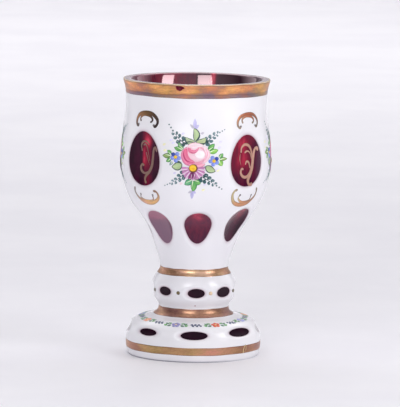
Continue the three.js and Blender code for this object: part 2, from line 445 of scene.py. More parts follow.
def spots(across: Array, up: Array, *each: Sequence[float]) -> Array:
    """Adds up soft spots, each a strength, a place and spread across, and a place and spread up."""
    return sum(s * hill(across, x, wide) * hill(up, y, high) for s, x, wide, y, high in each)


def step(value: Array, low: float, high: float) -> Array:
    """Rises smoothly from 0 at low to 1 at high: 3t^2 - 2t^3."""
    t = np.clip((value - low) / (high - low), 0.0, 1.0)
    return t * t * (3 - 2 * t)


def wrapped(angle: Array) -> Array:
    """Brings an angle to within half a turn of 0."""
    return np.mod(angle + math.pi, TAU) - math.pi


def waves(angle: Array, *terms: Wave) -> Array:
    """Adds up sine waves a sin(n x + p), each given as its a, n and p."""
    return sum(size * np.sin(count * angle + phase) for size, count, phase in terms)


def bowed(t: Array, *points: Array) -> Array:
    """Runs a curve that its inner points pull: the sum of C(n, k) t^k (1-t)^(n-k) p_k.

    Args:
        t: Parameters from 0 at the first point to 1 at the last.
        points: Its n + 1 points.

    Returns:
        The curve's points.
    """
    last = len(points) - 1
    return sum(
        math.comb(last, k) * t**k * (1 - t) ** (last - k) * point for k, point in enumerate(points)
    )


def rows(low: float, high: float, spacing: float = ROW) -> Array:
    """Spaces arc lengths evenly between two, at most the spacing apart."""
    return np.linspace(low, high, max(2, int(math.ceil((high - low) / spacing)) + 1))


# --- The outline and what is cut into it


@dataclass
class Outline:
    """The vase's outer outline from base to lip, by arc length, in millimetres.

    It is a chain of cubic curves that stand upright at each waist and swelling. Its heights and
    widths come from the frame.
    """

    foot_radius: float
    belly_radius: float
    lower_joint: float
    upper_joint: float
    lip_top: float
    lower_waist: float = 17.65
    upper_waist: float = 17.2
    knop_radius: float = 21.4
    cup_radius: float = 25.3
    cup_flare: float = 33.8
    waist_rise: float = 1.8
    collar_rise: float = 1.0
    foot_bevel: Point = (1.25, 1.2)
    lip_turn: Point = (1.1, 4.1)
    samples: int = 300

    def __post_init__(self) -> None:
        """Samples the curves and their outward normals, and adds up the arc length."""
        t = np.linspace(0.0, 1.0, self.samples + 1)[:, None]
        points, tangents = [], []
        for index, (a, b, c, d) in enumerate(self._curves()):
            slope = bowed(t, b - a, c - b, d - c)
            first = 1 if index else 0
            points.append(bowed(t, a, b, c, d)[first:])
            tangents.append((slope / np.linalg.norm(slope, axis=1, keepdims=True))[first:])
        path = np.concatenate(points)
        heading = np.concatenate(tangents)
        steps = np.linalg.norm(np.diff(path, axis=0), axis=1)
        self.arc = np.concatenate([[0.0], np.cumsum(steps)])
        self.radius, self.height = path.T
        self.out_radial = heading[:, 1]
        self.out_height = -heading[:, 0]

    @classmethod
    def from_frame(cls) -> "Outline":
        """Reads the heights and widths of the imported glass."""
        knop_low, knop_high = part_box("ruby_knop")
        foot_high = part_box("milk_foot_casing")[1]
        bowl_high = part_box("milk_bowl_casing")[1]
        return cls(
            foot_radius=foot_high.x / MM,
            belly_radius=bowl_high.x / MM,
            lower_joint=knop_low.z / MM,
            upper_joint=knop_high.z / MM,
            lip_top=bowl_high.z / MM,
        )

    def _curves(self) -> list[tuple[Array, Array, Array, Array]]:
        """Lists the four points of each curve as radius and height.

        Each knot of the chain is a place, the way the outline runs there, and how far the points
        before and after it lie along that way.
        """
        low = self.lower_joint + self.waist_rise
        high = self.upper_joint + self.collar_rise
        flare = math.radians(self.cup_flare)
        up, slope = (0.0, 1.0), (math.sin(flare), math.cos(flare))
        inset, rise = self.foot_bevel
        knots = [
            ((self.foot_radius - inset, 0.0), (inset, rise), 0.0, 1.0),
            ((self.foot_radius, 8.6), up, 1.2, 15.8),
            ((self.lower_waist, low), up, 8.5, 2.4),
            ((self.knop_radius, low + 9.6), up, 5.9, 5.9),
            ((self.upper_waist, high), up, 2.4, 2.8),
            ((self.cup_radius, high + 21.7), slope, 8.4, 14.0),
            ((self.belly_radius, high + 55.7), up, 14.0, 10.4),
            ((self.belly_radius - 2.3, high + 82.7), up, 6.9, 9.8),
            ((self.belly_radius - 0.7, self.lip_top), self.lip_turn, 1.0, 0.0),
        ]
        chain = [(np.array(at), np.array(way), before, after) for at, way, before, after in knots]
        return [
            (a, a + after * out, b - before * into, b)
            for (a, out, _, after), (b, into, before, _) in pairwise(chain)
        ]

    def at(self, arc: Array) -> tuple[Array, Array, Array, Array]:
        """Gives radius, height and the outward normal's two parts at an arc length."""
        parts = (self.radius, self.height, self.out_radial, self.out_height)
        return tuple(np.interp(arc, self.arc, part) for part in parts)

    def arc_at(self, height: float) -> float:
        """Gives the arc length at a height."""
        return float(np.interp(height, self.height, self.arc))

    def radius_at(self, arc: float) -> float:
        """Gives the radius at an arc length."""
        return float(np.interp(arc, self.arc, self.radius))

    def place(self, turn: Array, arc: Array, depth: Array | float) -> Array:
        """Puts points at a turn and arc, moved in by a depth along the outline's normal.

        Args:
            turn: Radians about the axis, 0 towards the front and growing to the right.
            arc: Arc length from the base.
            depth: Millimetres under the outer outline; negative stands proud.

        Returns:
            The points, with the height kept between the base and the lip.
        """
        radius, height, out_radial, out_height = self.at(arc)
        radius = radius - out_radial * depth
        height = np.clip(height - out_height * depth, 0.0, self.lip_top)
        return np.stack([radius * np.sin(turn), -radius * np.cos(turn), height], axis=-1)


class Lit(Enum):
    """How light and shade are painted in a family of cuts."""

    WINDOW = "window"
    CUP = "cup"
    DARK = "dark"

    def spread(self, across: Array, up: Array, turn: Array) -> tuple[Array, Array]:
        """Gives the painted light and the painted reflection wash inside a cut.

        A window on the vase's left is painted bright at its top, with a thin painted streak of
        light below and a shaded left side; one on its right is red at its left and greyed to plum
        by a painted reflection at its right. A cup cut is painted bright at its top, and the one
        that faces left is washed out by a painted reflection.

        Args:
            across: Sideways place as a share of the half width.
            up: Place along the cut as a share of the half height.
            turn: Radians about the axis.

        Returns:
            The painted light and the reflection wash.
        """
        if self is Lit.WINDOW:
            return self._window(across, up, np.sin(turn) > 0)
        if self is Lit.CUP:
            return self._cup(across, up, np.sin(turn))
        dark = np.zeros(np.broadcast(across, up).shape)
        return dark, dark

    @staticmethod
    def _window(across: Array, up: Array, on_right: Array) -> tuple[Array, Array]:
        """Gives the painted light and reflection wash in the windows of the vase's left and right
        sides.
        """
        left = 0.07 + 0.12 * hill(across, -0.5, 0.2) - 0.1 * step(across, 0.45, 0.7)
        fall = (1 - 0.55 * step(-up, 0.15, 0.5)) * (1 - 0.5 * step(across, 0.3, 0.65))
        left = left + 0.36 * step(across, -0.25, 0.1) * fall
        streak = step(up, -0.25, 0.0) * step(-up, -0.6, -0.4)
        left = left + 0.36 * hill(across, -0.07, 0.08) * streak
        left = left + spots(
            across, up, (0.26, 0.06, 0.16, 0.15, 0.42), (0.42, 0.22, 0.28, 0.74, 0.2),
            (0.2, 0.32, 0.3, -0.68, 0.3),
        )
        right = 0.34 + 0.17 * hill(across, -0.55, 0.45) * step(up, -0.7, 0.2)
        right = right + spots(
            across, up, (0.32, -0.24, 0.34, 0.76, 0.22), (0.3, -0.05, 0.3, 0.15, 0.32)
        )
        right = right - 0.1 * step(across, 0.35, 0.9) - 0.06 * step(-up, 0.3, 0.8)
        # the far right greyed to plum by a painted reflection
        plum = 0.2 * step(across, 0.55, 0.95)
        return np.where(on_right, right, left), np.where(on_right, plum, 0.0)

    @staticmethod
    def _cup(across: Array, up: Array, side: Array) -> tuple[Array, Array]:
        """Gives the painted light and reflection wash in the cup's cuts; side is -1 at the far
        left, 1 at the right.
        """
        left, right = step(-side, 0.4, 0.62), step(side, 0.4, 0.7)
        low = step(-up, -0.3, 0.6)
        # painted reflection washing out the cuts towards the left
        cup_reflection_wash = left * (0.78 - 0.3 * step(up, -0.2, 0.8))
        cup_reflection_wash = cup_reflection_wash + (0.3 - (0.08 + 0.14 * low) * (1 - left)) * step(-side, -0.55, -0.35)
        top = 0.38 * hill(across, -0.05 - 0.1 * up, 0.42) * step(up, 0.0, 0.5)
        top = top * (1 - 0.5 * right) + 0.8 * left * step(up, -0.2, 0.8)
        shade = 0.17 * step(across, 0.2, 0.8) + 0.08 * low
        return 0.34 + top + 0.06 * up - shade * right, np.minimum(cup_reflection_wash, 0.8)


@dataclass(frozen=True)
class WheelCut:
    """A family of hollows that a grinding wheel leaves when drawn straight across the glass.

    Its wheel and its crown are the radii of the wheel and of the wheel's rounded rim. It can
    cut as far as its reach up or down and its breadth sideways. Each copy slips by so many
    degrees round the vase, millimetres up and millimetres inwards.
    """

    height: float
    count: int
    turn: float
    depth: float
    wheel: float
    tilt: float
    reach: float
    breadth: float
    half_width: float
    half_height: float
    lit: Lit
    crown: float = STRAIGHT
    slips: tuple[tuple[float, float, float], ...] = ((0.0, 0.0, 0.0),)

    def _fold(self, turn: Array) -> tuple[Array, Array]:
        """Turns every copy on to the first and gives how far the hand slipped at each.

        Args:
            turn: Radians about the axis.

        Returns:
            The turn from the copy's middle, and its slip up and its slip inwards.
        """
        period = TAU / self.count
        away = turn - math.radians(self.turn)
        copy = np.round(away / period).astype(int)
        slip = np.array(self.slips)[copy % self.count % len(self.slips)]
        return away - copy * period - np.radians(slip[..., 0]), slip[..., 1:]

    def _local(self, outline: Outline, turn: Array, arc: Array) -> tuple[Array, ...]:
        """Gives the wheel's own coordinates of a surface point and of its inward normal.

        The wheel's path stands on the outline's point and normal at the cut's height, sunk by
        the depth and tilted; out runs along its normal, up along its tangent, across sideways.
        """
        turn, slip = self._fold(turn)
        radius, height, out_radial, out_height = outline.at(arc)
        at = [float(v) for v in outline.at(np.array(outline.arc_at(self.height)))]
        normal = np.array(at[2:]) / np.hypot(*at[2:])
        middle = np.array(at[:2]) - normal * self.depth
        tangent = np.array([-normal[1], normal[0]])
        lean = math.radians(self.tilt)
        out_axis = math.cos(lean) * normal + math.sin(lean) * tangent
        up_axis = math.cos(lean) * tangent - math.sin(lean) * normal
        radial = radius * np.cos(turn) - middle[0]
        rise = height - middle[1]
        out = radial * out_axis[0] + rise * out_axis[1] + slip[..., 1]
        up = radial * up_axis[0] + rise * up_axis[1] - slip[..., 0]
        facing = out_radial * np.cos(turn)
        in_out = -(facing * out_axis[0] + out_height * out_axis[1])
        in_up = -(facing * up_axis[0] + out_height * up_axis[1])
        return out, up, radius * np.sin(turn), in_out, in_up

    def _rim(self, across: Array) -> Array:
        """Gives the wheel's radius across its rounded rim: R - x^2 / 2c."""
        return self.wheel - across**2 / (2 * self.crown)

    def _near(self, up: Array, across: Array) -> Array:
        """Says which places the wheel can reach, and so leaves out its far side."""
        return (np.abs(up) < self.reach) & (np.abs(across) < self.breadth)

    def crease(self, outline: Outline, turn: Array, arc: Array) -> Array:
        """Gives how far inside the wheel the outer surface lies; 0 along the cut's crease."""
        out, up, across, _, _ = self._local(outline, turn, arc)
        inside = self._rim(across) - np.hypot(out - self.wheel, up)
        return np.where(self._near(up, across), inside, -1.0)

    def hollow(self, outline: Outline, turn: Array, arc: Array) -> Array:
        """Gives the depth along the normal at which the glass starts under the cut.

        It is the root of |p + d n|^2 = R^2 for the wheel's radius R, the surface point p from the
        wheel's centre and the inward normal n.
        """
        out, up, across, in_out, in_up = self._local(outline, turn, arc)
        out = out - self.wheel
        a = in_out**2 + in_up**2
        b = 2 * (out * in_out + up * in_up)
        c = out**2 + up**2 - self._rim(across) ** 2
        root = (np.sqrt(np.maximum(b * b - 4 * a * c, 0.0)) - b) / (2 * np.maximum(a, 1e-9))
        return np.where((c < 0) & self._near(up, across), root, 0.0)

    def spot(self, outline: Outline, turn: Array, arc: Array) -> tuple[Array, Array]:
        """Gives the place inside a cut as shares of its half width and half height."""
        _, up, across, _, _ = self._local(outline, turn, arc)
        return across / self.half_width, up / self.half_height


@dataclass(frozen=True)
class Chip:
    """A shell-shaped chip in the rim, with an uneven edge."""

    turn: float = -13.4
    height: float = 138.2
    half_width: float = 2.15
    half_height: float = 1.35
    depth: float = 1.7
    uneven: tuple[Wave, ...] = ((0.12, 3, 0.6), (0.07, 5, 2.0))

    def inside(self, outline: Outline, turn: Array, arc: Array) -> Array:
        """Gives 1 at the chip's middle, 0 on its edge and less outside."""
        middle = outline.arc_at(self.height)
        away = wrapped(turn - math.radians(self.turn))
        across = away * outline.radius_at(middle) / self.half_width
        up = (arc - middle) / self.half_height
        edge = 1.0 + waves(np.arctan2(up, across), *self.uneven)
        return 1.0 - (across**2 + up**2) / edge**2

    def hollow(self, outline: Outline, turn: Array, arc: Array) -> Array:
        """Gives the depth of the broken surface, steep at its edge."""
        return self.depth * np.sqrt(np.maximum(self.inside(outline, turn, arc), 0.0))


@dataclass
class Carving:
    """All that is cut into one gather of glass."""

    outline: Outline
    cuts: tuple[WheelCut, ...]
    chip: Chip | None = None
    unlit: float = 0.1
    chip_glow: float = 0.42

    def hollow(self, turn: Array, arc: Array) -> Array:
        """Gives the deepest cut at each place."""
        depth = np.zeros(np.broadcast(turn, arc).shape)
        for cut in self.cuts:
            depth = np.maximum(depth, cut.hollow(self.outline, turn, arc))
        if self.chip:
            depth = np.maximum(depth, self.chip.hollow(self.outline, turn, arc))
        return depth

    def crease(self, turn: Array, arc: Array) -> Array:
        """Is 0 along every crease and more inside it."""
        value = np.full(np.broadcast(turn, arc).shape, -1.0)
        for cut in self.cuts:
            value = np.maximum(value, cut.crease(self.outline, turn, arc))
        if self.chip:
            value = np.maximum(value, self.chip.inside(self.outline, turn, arc))
        return value

    def light(self, turn: Array, arc: Array) -> tuple[Array, Array]:
        """Gives the painted light and the painted reflection wash at each place of the ruby.

        Args:
            turn: Radians about the axis.
            arc: Arc length from the base.

        Returns:
            The painted light and the reflection wash, each from 0 to 1.
        """
        glow = np.full(np.broadcast(turn, arc).shape, self.unlit)
        lip_and_reflection_wash = np.zeros_like(glow)
        for cut in self.cuts:
            here = cut.hollow(self.outline, turn, arc) > 0
            across, up = cut.spot(self.outline, turn, arc)
            cut_glow, cut_reflection_wash = cut.lit.spread(across, up, turn)
            glow, lip_and_reflection_wash = np.where(here, cut_glow, glow), np.where(here, cut_reflection_wash, lip_and_reflection_wash)
        if self.chip:
            broken = self.chip.inside(self.outline, turn, arc) > 0
            # the chip is given its own painted light
            glow = np.where(broken, self.chip_glow, glow)
        return glow, lip_and_reflection_wash


# --- Meshes


class Lattice:
    """Triangles over turn and arc round the vase, split exactly along the zero lines of fields."""

    SNAP = 0.2  # share of an edge within which a vertex moves on to the line
    HALVINGS = 16

    def __init__(self, arcs: Array) -> None:
        """Lays a ring of columns at every arc length."""
        self.turn = np.tile(TURNS, len(arcs))
        self.arc = np.repeat(arcs, COLUMNS)
        index = np.arange(len(self.turn)).reshape(len(arcs), COLUMNS)
        a, d = index[:-1].ravel(), index[1:].ravel()
        b, c = np.roll(index, -1, 1)[:-1].ravel(), np.roll(index, -1, 1)[1:].ravel()
        self.faces = np.concatenate([np.stack([a, b, c], 1), np.stack([a, c, d], 1)])
        self.bottom, self.top = index[0], index[-1]
        self.marked = np.zeros(len(self.turn), bool)
        self.marked[self.bottom] = self.marked[self.top] = True

    def _between(self, a: Array, b: Array, share: Array) -> tuple[Array, Array]:
        """Gives the place at a share of the way from vertices a to b, across the seam too."""
        onward = wrapped(self.turn[b] - self.turn[a])
        return self.turn[a] + share * onward, self.arc[a] + share * (self.arc[b] - self.arc[a])

    def _roots(self, level: Field, a: Array, b: Array) -> Array:
        """Halves each edge towards the zero of the field and gives the share along it."""
        low, high = np.zeros(len(a)), np.ones(len(a))
        start = level(self.turn[a], self.arc[a])
        for _ in range(self.HALVINGS):
            middle = (low + high) / 2
            same = level(*self._between(a, b, middle)) * start > 0
            low, high = np.where(same, middle, low), np.where(same, high, middle)
        return (low + high) / 2

    def _crossed(self, value: Array) -> tuple[Array, Array]:
        """Lists the edges whose ends lie on both sides of zero."""
        pairs = np.concatenate([self.faces[:, [k, (k + 1) % 3]] for k in range(3)])
        pairs = np.unique(np.sort(pairs, axis=1), axis=0)
        pairs = pairs[value[pairs[:, 0]] * value[pairs[:, 1]] < 0]
        return pairs[:, 0], pairs[:, 1]

    def split(self, level: Field) -> Array:
        """Cuts the triangles along the zero line of a field.

        A vertex close to the line moves on to it. A triangle that the line still crosses becomes
        three, or two where the line meets a corner.

        Args:
            level: The field, as a function of turn and arc.

        Returns:
            The field's value at each vertex, exactly 0 on the line.
        """
        value = level(self.turn, self.arc)
        a, b = self._crossed(value)
        share = self._roots(level, a, b)
        for near, far, part in ((a, b, share), (b, a, 1 - share)):
            close = (part < self.SNAP) & ~self.marked[near]
            turn, arc = self._between(near[close], far[close], part[close])
            self.turn[near[close]], self.arc[near[close]] = turn, arc
            value[near[close]] = 0.0
        a, b = self._crossed(value)
        turn, arc = self._between(a, b, self._roots(level, a, b))
        first = len(self.turn)
        self.turn = np.concatenate([self.turn, turn])
        self.arc = np.concatenate([self.arc, arc])
        value = np.concatenate([value, np.zeros(len(a))])
        self._divide(value, a * first + b, first)
        self.marked = np.concatenate([self.marked, np.zeros(len(a), bool)]) | (value == 0)
        return value

    def _divide(self, value: Array, keys: Array, first: int) -> None:
        """Replaces each crossed triangle by the ones on both sides of the line."""
        signs = np.sign(value[self.faces]).astype(int)
        mixed = (signs.max(1) > 0) & (signs.min(1) < 0)
        whole, faces, signs = self.faces[~mixed], self.faces[mixed], signs[mixed]
        corner = (signs == 0).any(1)
        lone = np.where(
            corner, np.argmin(np.abs(signs), 1), np.argmax(signs == -signs.sum(1)[:, None], 1)
        )
        turned = (lone[:, None] + np.arange(3)) % 3
        faces = np.take_along_axis(faces, turned, 1)

        def new(p: Array, q: Array) -> Array:
            """Finds the new vertex on the edge between two old ones."""
            key = np.minimum(p, q) * first + np.maximum(p, q)
            return first + np.searchsorted(keys, key)

        v0, v1, v2 = faces[corner].T
        middle = new(v1, v2)
        halves = [np.stack([v0, v1, middle], 1), np.stack([v0, middle, v2], 1)]
        v0, v1, v2 = faces[~corner].T
        p, q = new(v0, v1), new(v0, v2)
        thirds = [np.stack([v0, p, q], 1), np.stack([p, v1, v2], 1), np.stack([p, v2, q], 1)]
        self.faces = np.concatenate([whole, *halves, *thirds])

    def drop(self, level: Field) -> None:
        """Removes the triangles on whose middle the field is above zero."""
        start = self.turn[self.faces[:, :1]]
        turn = start + wrapped(self.turn[self.faces] - start)
        self.faces = self.faces[level(turn.mean(1), self.arc[self.faces].mean(1)) <= 0]


class Solid:
    """Points and triangles of one closed piece, with its vertex values."""

    def __init__(self) -> None:
        """Starts empty."""
        self.points: list[Array] = []
        self.faces: list[Array] = []
        self.finishes: list[Array] = []
        self.finish_now = 0
        self.values: dict[str, list[tuple[int, Array]]] = {}
        self.sharp: list[Array] = []
        self.count = 0

    def add(self, points: Array) -> Array:
        """Adds points and gives their numbers."""
        index = np.arange(self.count, self.count + len(points))
        self.points.append(points)
        self.count += len(points)
        return index

    def triangles(self, faces: Array) -> None:
        """Adds triangles by their points' numbers, in the finish set at present."""
        self.faces.append(faces)
        self.finishes.append(np.full(len(faces), self.finish_now))

    def strip(self, lower: Array, upper: Array) -> None:
        """Joins two rings, each in order of turn, facing right of the way from lower to upper."""
        after_low, after_up = np.roll(lower, -1), np.roll(upper, -1)
        self.triangles(np.stack([lower, after_low, after_up], 1))
        self.triangles(np.stack([lower, after_up, upper], 1))

    def ring(self, radius: float, height: float) -> Array:
        """Adds a level ring of the lattice's columns."""
        across, ahead = radius * np.sin(TURNS), -radius * np.cos(TURNS)
        return self.add(np.stack([across, ahead, np.full(COLUMNS, height)], 1))

    def rings(self, start: Array, profile: Sequence[Point]) -> Array:
        """Carries the surface on from a ring through a profile of radius and height."""
        for radius, height in profile:
            following = self.ring(radius, height)
            self.strip(start, following)
            start = following
        return start

    def pole(self, ring: Array, height: float, last: bool) -> None:
        """Closes a ring on the axis, at the end of a profile or at its start."""
        centre = self.add(np.array([[0.0, 0.0, height]]))
        tip = np.full(COLUMNS, centre[0])
        after = np.roll(ring, -1)
        order = [ring, after, tip] if last else [tip, after, ring]
        self.triangles(np.stack(order, 1))

    def shell(
        self, lattice: Lattice, outside: Array, inside: Array, shared: Array | bool = False
    ) -> tuple[Array, Array]:
        """Adds an outer and an inner skin over a lattice and joins them at its two ends.

        Args:
            lattice: The triangles.
            outside: Points of the outer skin, by lattice vertex.
            inside: Points of the inner skin.
            shared: Which vertices the skins share, if any, at the outer skin's point.

        Returns:
            The point numbers of the outer and the inner skin, by lattice vertex.
        """
        outer, inner = self.add(outside), self.add(inside)
        inner = np.where(shared, outer, inner)
        self.triangles(outer[lattice.faces])
        self.triangles(inner[lattice.faces][:, ::-1])
        self.strip(outer[lattice.top], inner[lattice.top])
        self.strip(inner[lattice.bottom], outer[lattice.bottom])
        return outer, inner

    def wall(self, outer: Array, inner: Array, faces: Array, line: Array) -> None:
        """Joins two skins along the open edges that run between points of a marked line.

        Args:
            outer: Point numbers of the outer skin, by lattice vertex.
            inner: Point numbers of the inner skin.
            faces: The lattice's triangles.
            line: Which vertices lie on the line.
        """
        a = faces.ravel()
        b = np.roll(faces, -1, 1).ravel()
        keep = line[a] & line[b]
        a, b = a[keep], b[keep]
        total = len(line)
        open_edge = ~np.isin(a * total + b, b * total + a)
        a, b = a[open_edge], b[open_edge]
        self.triangles(np.stack([outer[b], outer[a], inner[a]], 1))
        self.triangles(np.stack([outer[b], inner[a], inner[b]], 1))

    def value(self, name: str, index: Array, amounts: Array) -> None:
        """Notes a vertex value for some of the points."""
        self.values.setdefault(name, []).append((index, amounts))

    def build(
        self, name: str, *finishes: bpy.types.Material, crease: float = 35.0
    ) -> bpy.types.Object:
        """Makes the mesh object, smooth but for its sharp edges, at the origin.

        Args:
            name: The piece's name.
            finishes: Its finishes.
            crease: The angle in degrees past which an edge is sharp.

        Returns:
            The linked object.
        """
        points = np.concatenate(self.points)
        faces = np.concatenate(self.faces)
        used = np.unique(faces)
        renumber = np.full(len(points), -1)
        renumber[used] = np.arange(len(used))
        faces = renumber[faces]
        mesh = bpy.data.meshes.new(name)
        mesh.vertices.add(len(used))
        mesh.vertices.foreach_set("co", (points[used] * MM).astype(np.float32).ravel())
        mesh.loops.add(faces.size)
        mesh.loops.foreach_set("vertex_index", faces.astype(np.int32).ravel())
        mesh.polygons.add(len(faces))
        mesh.polygons.foreach_set("loop_start", np.arange(0, faces.size, 3, dtype=np.int32))
        mesh.polygons.foreach_set("material_index", np.concatenate(self.finishes).astype(np.int32))
        mesh.update(calc_edges=True)
        mesh.shade_smooth()
        mesh.set_sharp_from_angle(angle=math.radians(crease))
        self._mark_sharp(mesh, renumber)
        for key, parts in self.values.items():
            self._write_value(mesh, key, parts, used, len(points))
        for finish in finishes:
            mesh.materials.append(finish)
        return placed(name, mesh)

    def _mark_sharp(self, mesh: bpy.types.Mesh, renumber: Array) -> None:
        """Marks the edges between two points of a marked line."""
        if not self.sharp:
            return
        marked = np.zeros(len(mesh.vertices), bool)
        index = renumber[np.concatenate(self.sharp)]
        marked[index[index >= 0]] = True
        ends = np.zeros(len(mesh.edges) * 2, np.int32)
        mesh.edges.foreach_get("vertices", ends)
        sharp = np.zeros(len(mesh.edges), bool)
        key = "sharp_edge"
        layer = mesh.attributes.get(key) or mesh.attributes.new(key, "BOOLEAN", "EDGE")
        layer.data.foreach_get("value", sharp)
        layer.data.foreach_set("value", sharp | marked[ends.reshape(-1, 2)].all(1))

    @staticmethod
    def _write_value(
        mesh: bpy.types.Mesh, key: str, parts: list[tuple[Array, Array]], used: Array, total: int
    ) -> None:
        """Writes one vertex value, a number or a colour."""
        broad = parts[0][1].ndim == 2
        full = np.zeros((total, 4) if broad else total, np.float32)
        for index, amounts in parts:
            full[index] = amounts
        kind, slot = ("FLOAT_COLOR", "color") if broad else ("FLOAT", "value")
        layer = mesh.attributes.new(key, kind, "POINT")
        layer.data.foreach_set(slot, full[used].ravel())


def placed(name: str, data: bpy.types.ID) -> bpy.types.Object:
    """Makes an object of a mesh, a light or a camera and puts it in the scene."""
    obj = bpy.data.objects.new(name, data)
    bpy.context.scene.collection.objects.link(obj)
    return obj


def dress(obj: bpy.types.Object, slot: str, *nodes: str) -> None:
    """Rides a piece on the frame, hides the nodes that it stands for, and logs it."""
    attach(obj, "root")
    if nodes:
        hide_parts(*nodes)
    log.info("%s: %d triangles", obj.name, len(obj.data.polygons))


# --- Glass


@dataclass
class Gather:
    """One gather of ruby glass with the white overlay on it."""

    name: str
    carving: Carving
    low: float
    high: float
    rounding: float = 0.0
    rounding_rows: tuple[float, ...] = (1.0, 0.7, 0.42, 0.2, 0.06, 0.0)
    lip_gold: Point = (0.75, 0.3)
    ground_shadow_line: Point = (0.95, 0.25)
    ground_shadow_gap: Point = (62.0, 34.0)

    def _arcs(self) -> Array:
        """Lists the rows, closer together where the top edge is rounded."""
        if not self.rounding:
            return rows(self.low, self.high)
        fine = self.high - self.rounding * np.array(self.rounding_rows)
        return np.concatenate([rows(self.low, self.high - self.rounding)[:-1], fine])

    def _outer_depth(self, turn: Array, arc: Array) -> Array:
        """Gives the overlay's outer depth: the cuts, or the rounding of the top edge."""
        depth = self.carving.hollow(turn, arc)
        if self.rounding:
            rise = np.clip(1 - (self.high - arc) / self.rounding, 0.0, 1.0)
            depth = np.maximum(depth, self.rounding * (1 - np.sqrt(1 - rise**2)))
        return depth

    def casing(self, material: bpy.types.Material) -> None:
        """Builds the overlay: an outer skin and an inner one that meet at each window's edge."""
        outline = self.carving.outline

        def window(turn: Array, arc: Array) -> Array:
            """Is above zero where the cuts go through the overlay."""
            return self.carving.hollow(turn, arc) - OVERLAY

        lattice = Lattice(self._arcs())
        lattice.split(self.carving.crease)
        level = lattice.split(window)
        lattice.drop(window)
        depth = np.minimum(self._outer_depth(lattice.turn, lattice.arc), OVERLAY)
        depth = np.where(level == 0, OVERLAY, depth)
        solid = Solid()
        outer, inner = solid.shell(
            lattice,
            outline.place(lattice.turn, lattice.arc, depth),
            outline.place(lattice.turn, lattice.arc, OVERLAY),
            level == 0,
        )
        solid.value("thin", outer, depth / OVERLAY)
        if self.rounding:  # the top edge is the lip, with worn gold on it
            start, full = self.lip_gold
            near_lip = step(lattice.arc, self.high - start, self.high - full)
            solid.value("gilt", outer, near_lip)
            solid.value("gilt", inner, near_lip * 0.5)
        if not self.low:  # the lower edge is ground; a dark line is painted along it as contact shadow, faint at the right
            start, full = self.ground_shadow_line
            # the painted shadow fades out at the right, where the light falls
            fade = 1 - 0.85 * hill(lattice.turn, *np.radians(self.ground_shadow_gap))
            solid.value("ground", outer, step(-lattice.arc, -start, -full) * fade)
        if self.carving.chip:
            broken = self.carving.chip.inside(outline, lattice.turn, lattice.arc)
            solid.value("broken", outer, step(broken, -0.25, 0.05))
        solid.sharp.append(outer[level == 0])
        overlay = solid.build(f"{self.name}_white_overlay", material)
        dress(overlay, "white_overlay", f"milk_{self.name}_casing")

    def core_skin(self) -> tuple[Solid, Lattice]:
        """Starts the ruby with its outer skin, which comes up to each cut's hollow."""
        outline, solid = self.carving.outline, Solid()
        lattice = Lattice(rows(self.low, self.high))
        level = lattice.split(lambda turn, arc: self.carving.hollow(turn, arc) - CORE)
        depth = np.maximum(self.carving.hollow(lattice.turn, lattice.arc), CORE)
        skin = solid.add(outline.place(lattice.turn, lattice.arc, depth))
        solid.triangles(skin[lattice.faces])
        glow, lip_and_reflection_wash = self.carving.light(lattice.turn, lattice.arc)
        solid.value("glow", skin, glow)
        solid.value("lip_and_reflection_wash", skin, lip_and_reflection_wash)
        solid.sharp.append(skin[level == 0])
        return solid, lattice


